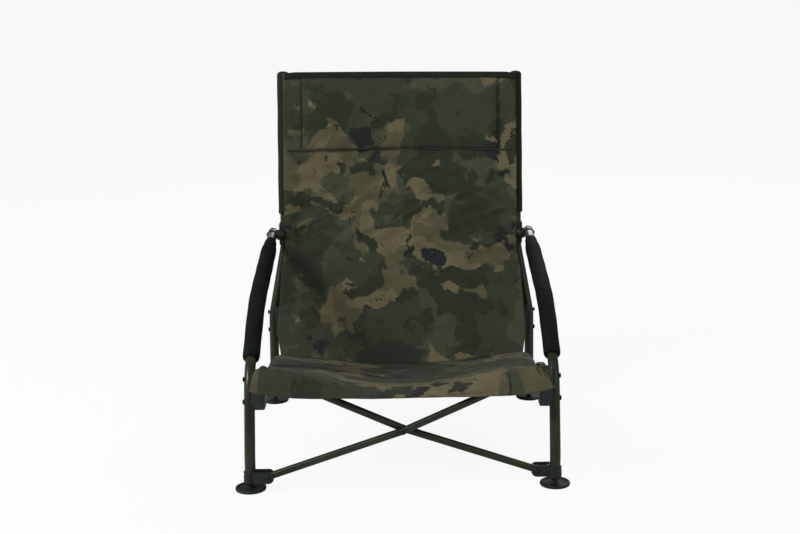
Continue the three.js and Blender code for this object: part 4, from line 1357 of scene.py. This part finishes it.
    def seams(self) -> list[bpy.types.Object]:
        """The sewn seams: the pocket's lower seam over the full width, and an upright one on each side."""
        normal = unit(np.array([0, -1.0, 0.19]))
        u = np.linspace(-0.97, 0.97, 130)
        seam = self.surface(u, np.full(len(u), 0.5215)) + normal * self.seam_lift
        made = band("head_pocket_seam", seam, np.array([0, 0.19, 0.98]), normal, 0.0034, 0.0009)
        found = [dress(made, self.finishes.thread, "left_frame", "cloth")]
        for side in Side:
            z = np.linspace(0.526, 0.668, 60)
            place_u = np.full(len(z), side.value * 0.2065 / self.half_width)
            line = self.surface(place_u, z) + normal * self.seam_lift
            made = band(f"{side.word}_head_pocket_seam", line, SIDEWAYS, normal, 0.0022, 0.0007)
            found.append(dress(made, self.finishes.thread, "left_frame", "cloth"))
        for seam_piece in found:
            self.squash(seam_piece)
        return found


@dataclass
class Webbing:
    """The seat's side straps, kept as the frame has them, in woven webbing."""

    finishes: Finishes

    def build(self) -> None:
        """Gives each strap node its material."""
        for side in Side:
            refinish(f"{side.word}_seat_strap", self.finishes.strap)


@dataclass
class Studio:
    """Pale floor, white surround, three soft lamps and the camera at the photograph's angle."""

    lens: float = 61.4
    eye_ahead: float = 2.27
    eye_height: float = 0.900
    pitch: float = 12.5
    yaw: float = 2.6
    shift: float = -0.0775
    floor_half: float = 120.0
    sky: float = 0.947
    sky_light: float = 0.34
    floor_glow: float = 0.99
    glow_share: float = 0.93
    aim_height: float = 0.35

    def build(self) -> None:
        """Makes the stage."""
        bpy.context.scene.view_settings.view_transform = "Standard"
        self.camera()
        self.world()
        self.floor()
        self.lamp("key_lamp", (-2.6, -1.5, 2.4), 1.1, 98.0)
        self.lamp("fill_lamp", (2.2, -2.2, 1.9), 2.6, 26.0)
        self.lamp("back_lamp", (0.9, 2.6, 2.2), 2.4, 34.0)

    def camera(self) -> None:
        """The camera in front of the seat, a little above the back's top and looking down."""
        data = bpy.data.cameras.new("camera")
        data.sensor_width, data.lens = 36.0, self.lens
        data.clip_end, data.shift_x = 400.0, self.shift
        made = bpy.data.objects.new("camera", data)
        made.location = (0.0, SHIFT - self.eye_ahead, self.eye_height)
        made.rotation_euler = (math.radians(90 - self.pitch), 0, math.radians(-self.yaw))
        bpy.context.scene.collection.objects.link(made)
        bpy.context.scene.camera = made

    def world(self) -> None:
        """An even pale sky, white where the camera sees it."""
        world = bpy.data.worlds.new("studio")
        world.use_nodes = True
        n = Nodes(world.node_tree)
        sky = world.node_tree.nodes["Background"]
        rays = n.add("ShaderNodeLightPath")
        sky.inputs["Color"].default_value = (self.sky, self.sky, self.sky, 1)
        seen = n.maths("MULTIPLY", rays.outputs["Is Camera Ray"], 1 - self.sky_light)
        n.link(n.maths("ADD", self.sky_light, seen), sky.inputs["Strength"])
        bpy.context.scene.world = world

    def floor(self) -> None:
        """A plain floor that reads as white to the camera and keeps a faint shadow."""
        half = self.floor_half
        points = np.array([[-half, -half, 0], [half, -half, 0], [half, half, 0], [-half, half, 0.0]])
        made = make_mesh("floor", points, [[0, 1, 2, 3]])
        material = bpy.data.materials.new("pale_floor")
        material.use_nodes = True
        n = Nodes(material.node_tree)
        shader = material.node_tree.nodes["Principled BSDF"]
        shader.inputs["Base Color"].default_value = (0.8, 0.8, 0.8, 1)
        shader.inputs["Roughness"].default_value = 0.9
        rays = n.add("ShaderNodeLightPath")
        glow = n.add("ShaderNodeEmission")
        glow.inputs["Color"].default_value = (self.floor_glow, self.floor_glow, self.floor_glow, 1)
        share = n.maths("MULTIPLY", rays.outputs["Is Camera Ray"], self.glow_share)
        blend = n.add("ShaderNodeMixShader")
        n.link(share, blend.inputs[0])
        n.link(shader.outputs[0], blend.inputs[1])
        n.link(glow.outputs[0], blend.inputs[2])
        n.link(blend.outputs[0], material.node_tree.nodes["Material Output"].inputs["Surface"])
        made.data.materials.append(material)

    def lamp(self, name: str, place_at: tuple[float, float, float], size: float, power: float) -> None:
        """A square soft lamp that looks at the seat."""
        data = bpy.data.lights.new(name, "AREA")
        data.size, data.energy = size, power
        made = bpy.data.objects.new(name, data)
        made.location = place_at
        aim = Vector((0, 0, self.aim_height)) - Vector(place_at)
        made.rotation_euler = aim.to_track_quat("-Z", "Y").to_euler()
        bpy.context.scene.collection.objects.link(made)


def main() -> None:
    """Builds the studio and every sub-assembly of the chair."""
    logging.basicConfig(level=logging.INFO, format="%(message)s")
    Studio().build()
    finishes = Finishes()
    frames = {side: SideFrame(side, finishes) for side in Side}
    for side_frame in frames.values():
        side_frame.build()
    for side in Side:
        for end in End:
            Foot(side, end, finishes).build()
    for end in End:
        CrossBars(end, finishes).build()
    SeatCloth(finishes).build()
    BackCloth(finishes, frames).build()
    Webbing(finishes).build()


if __name__ == "__main__":
    main()
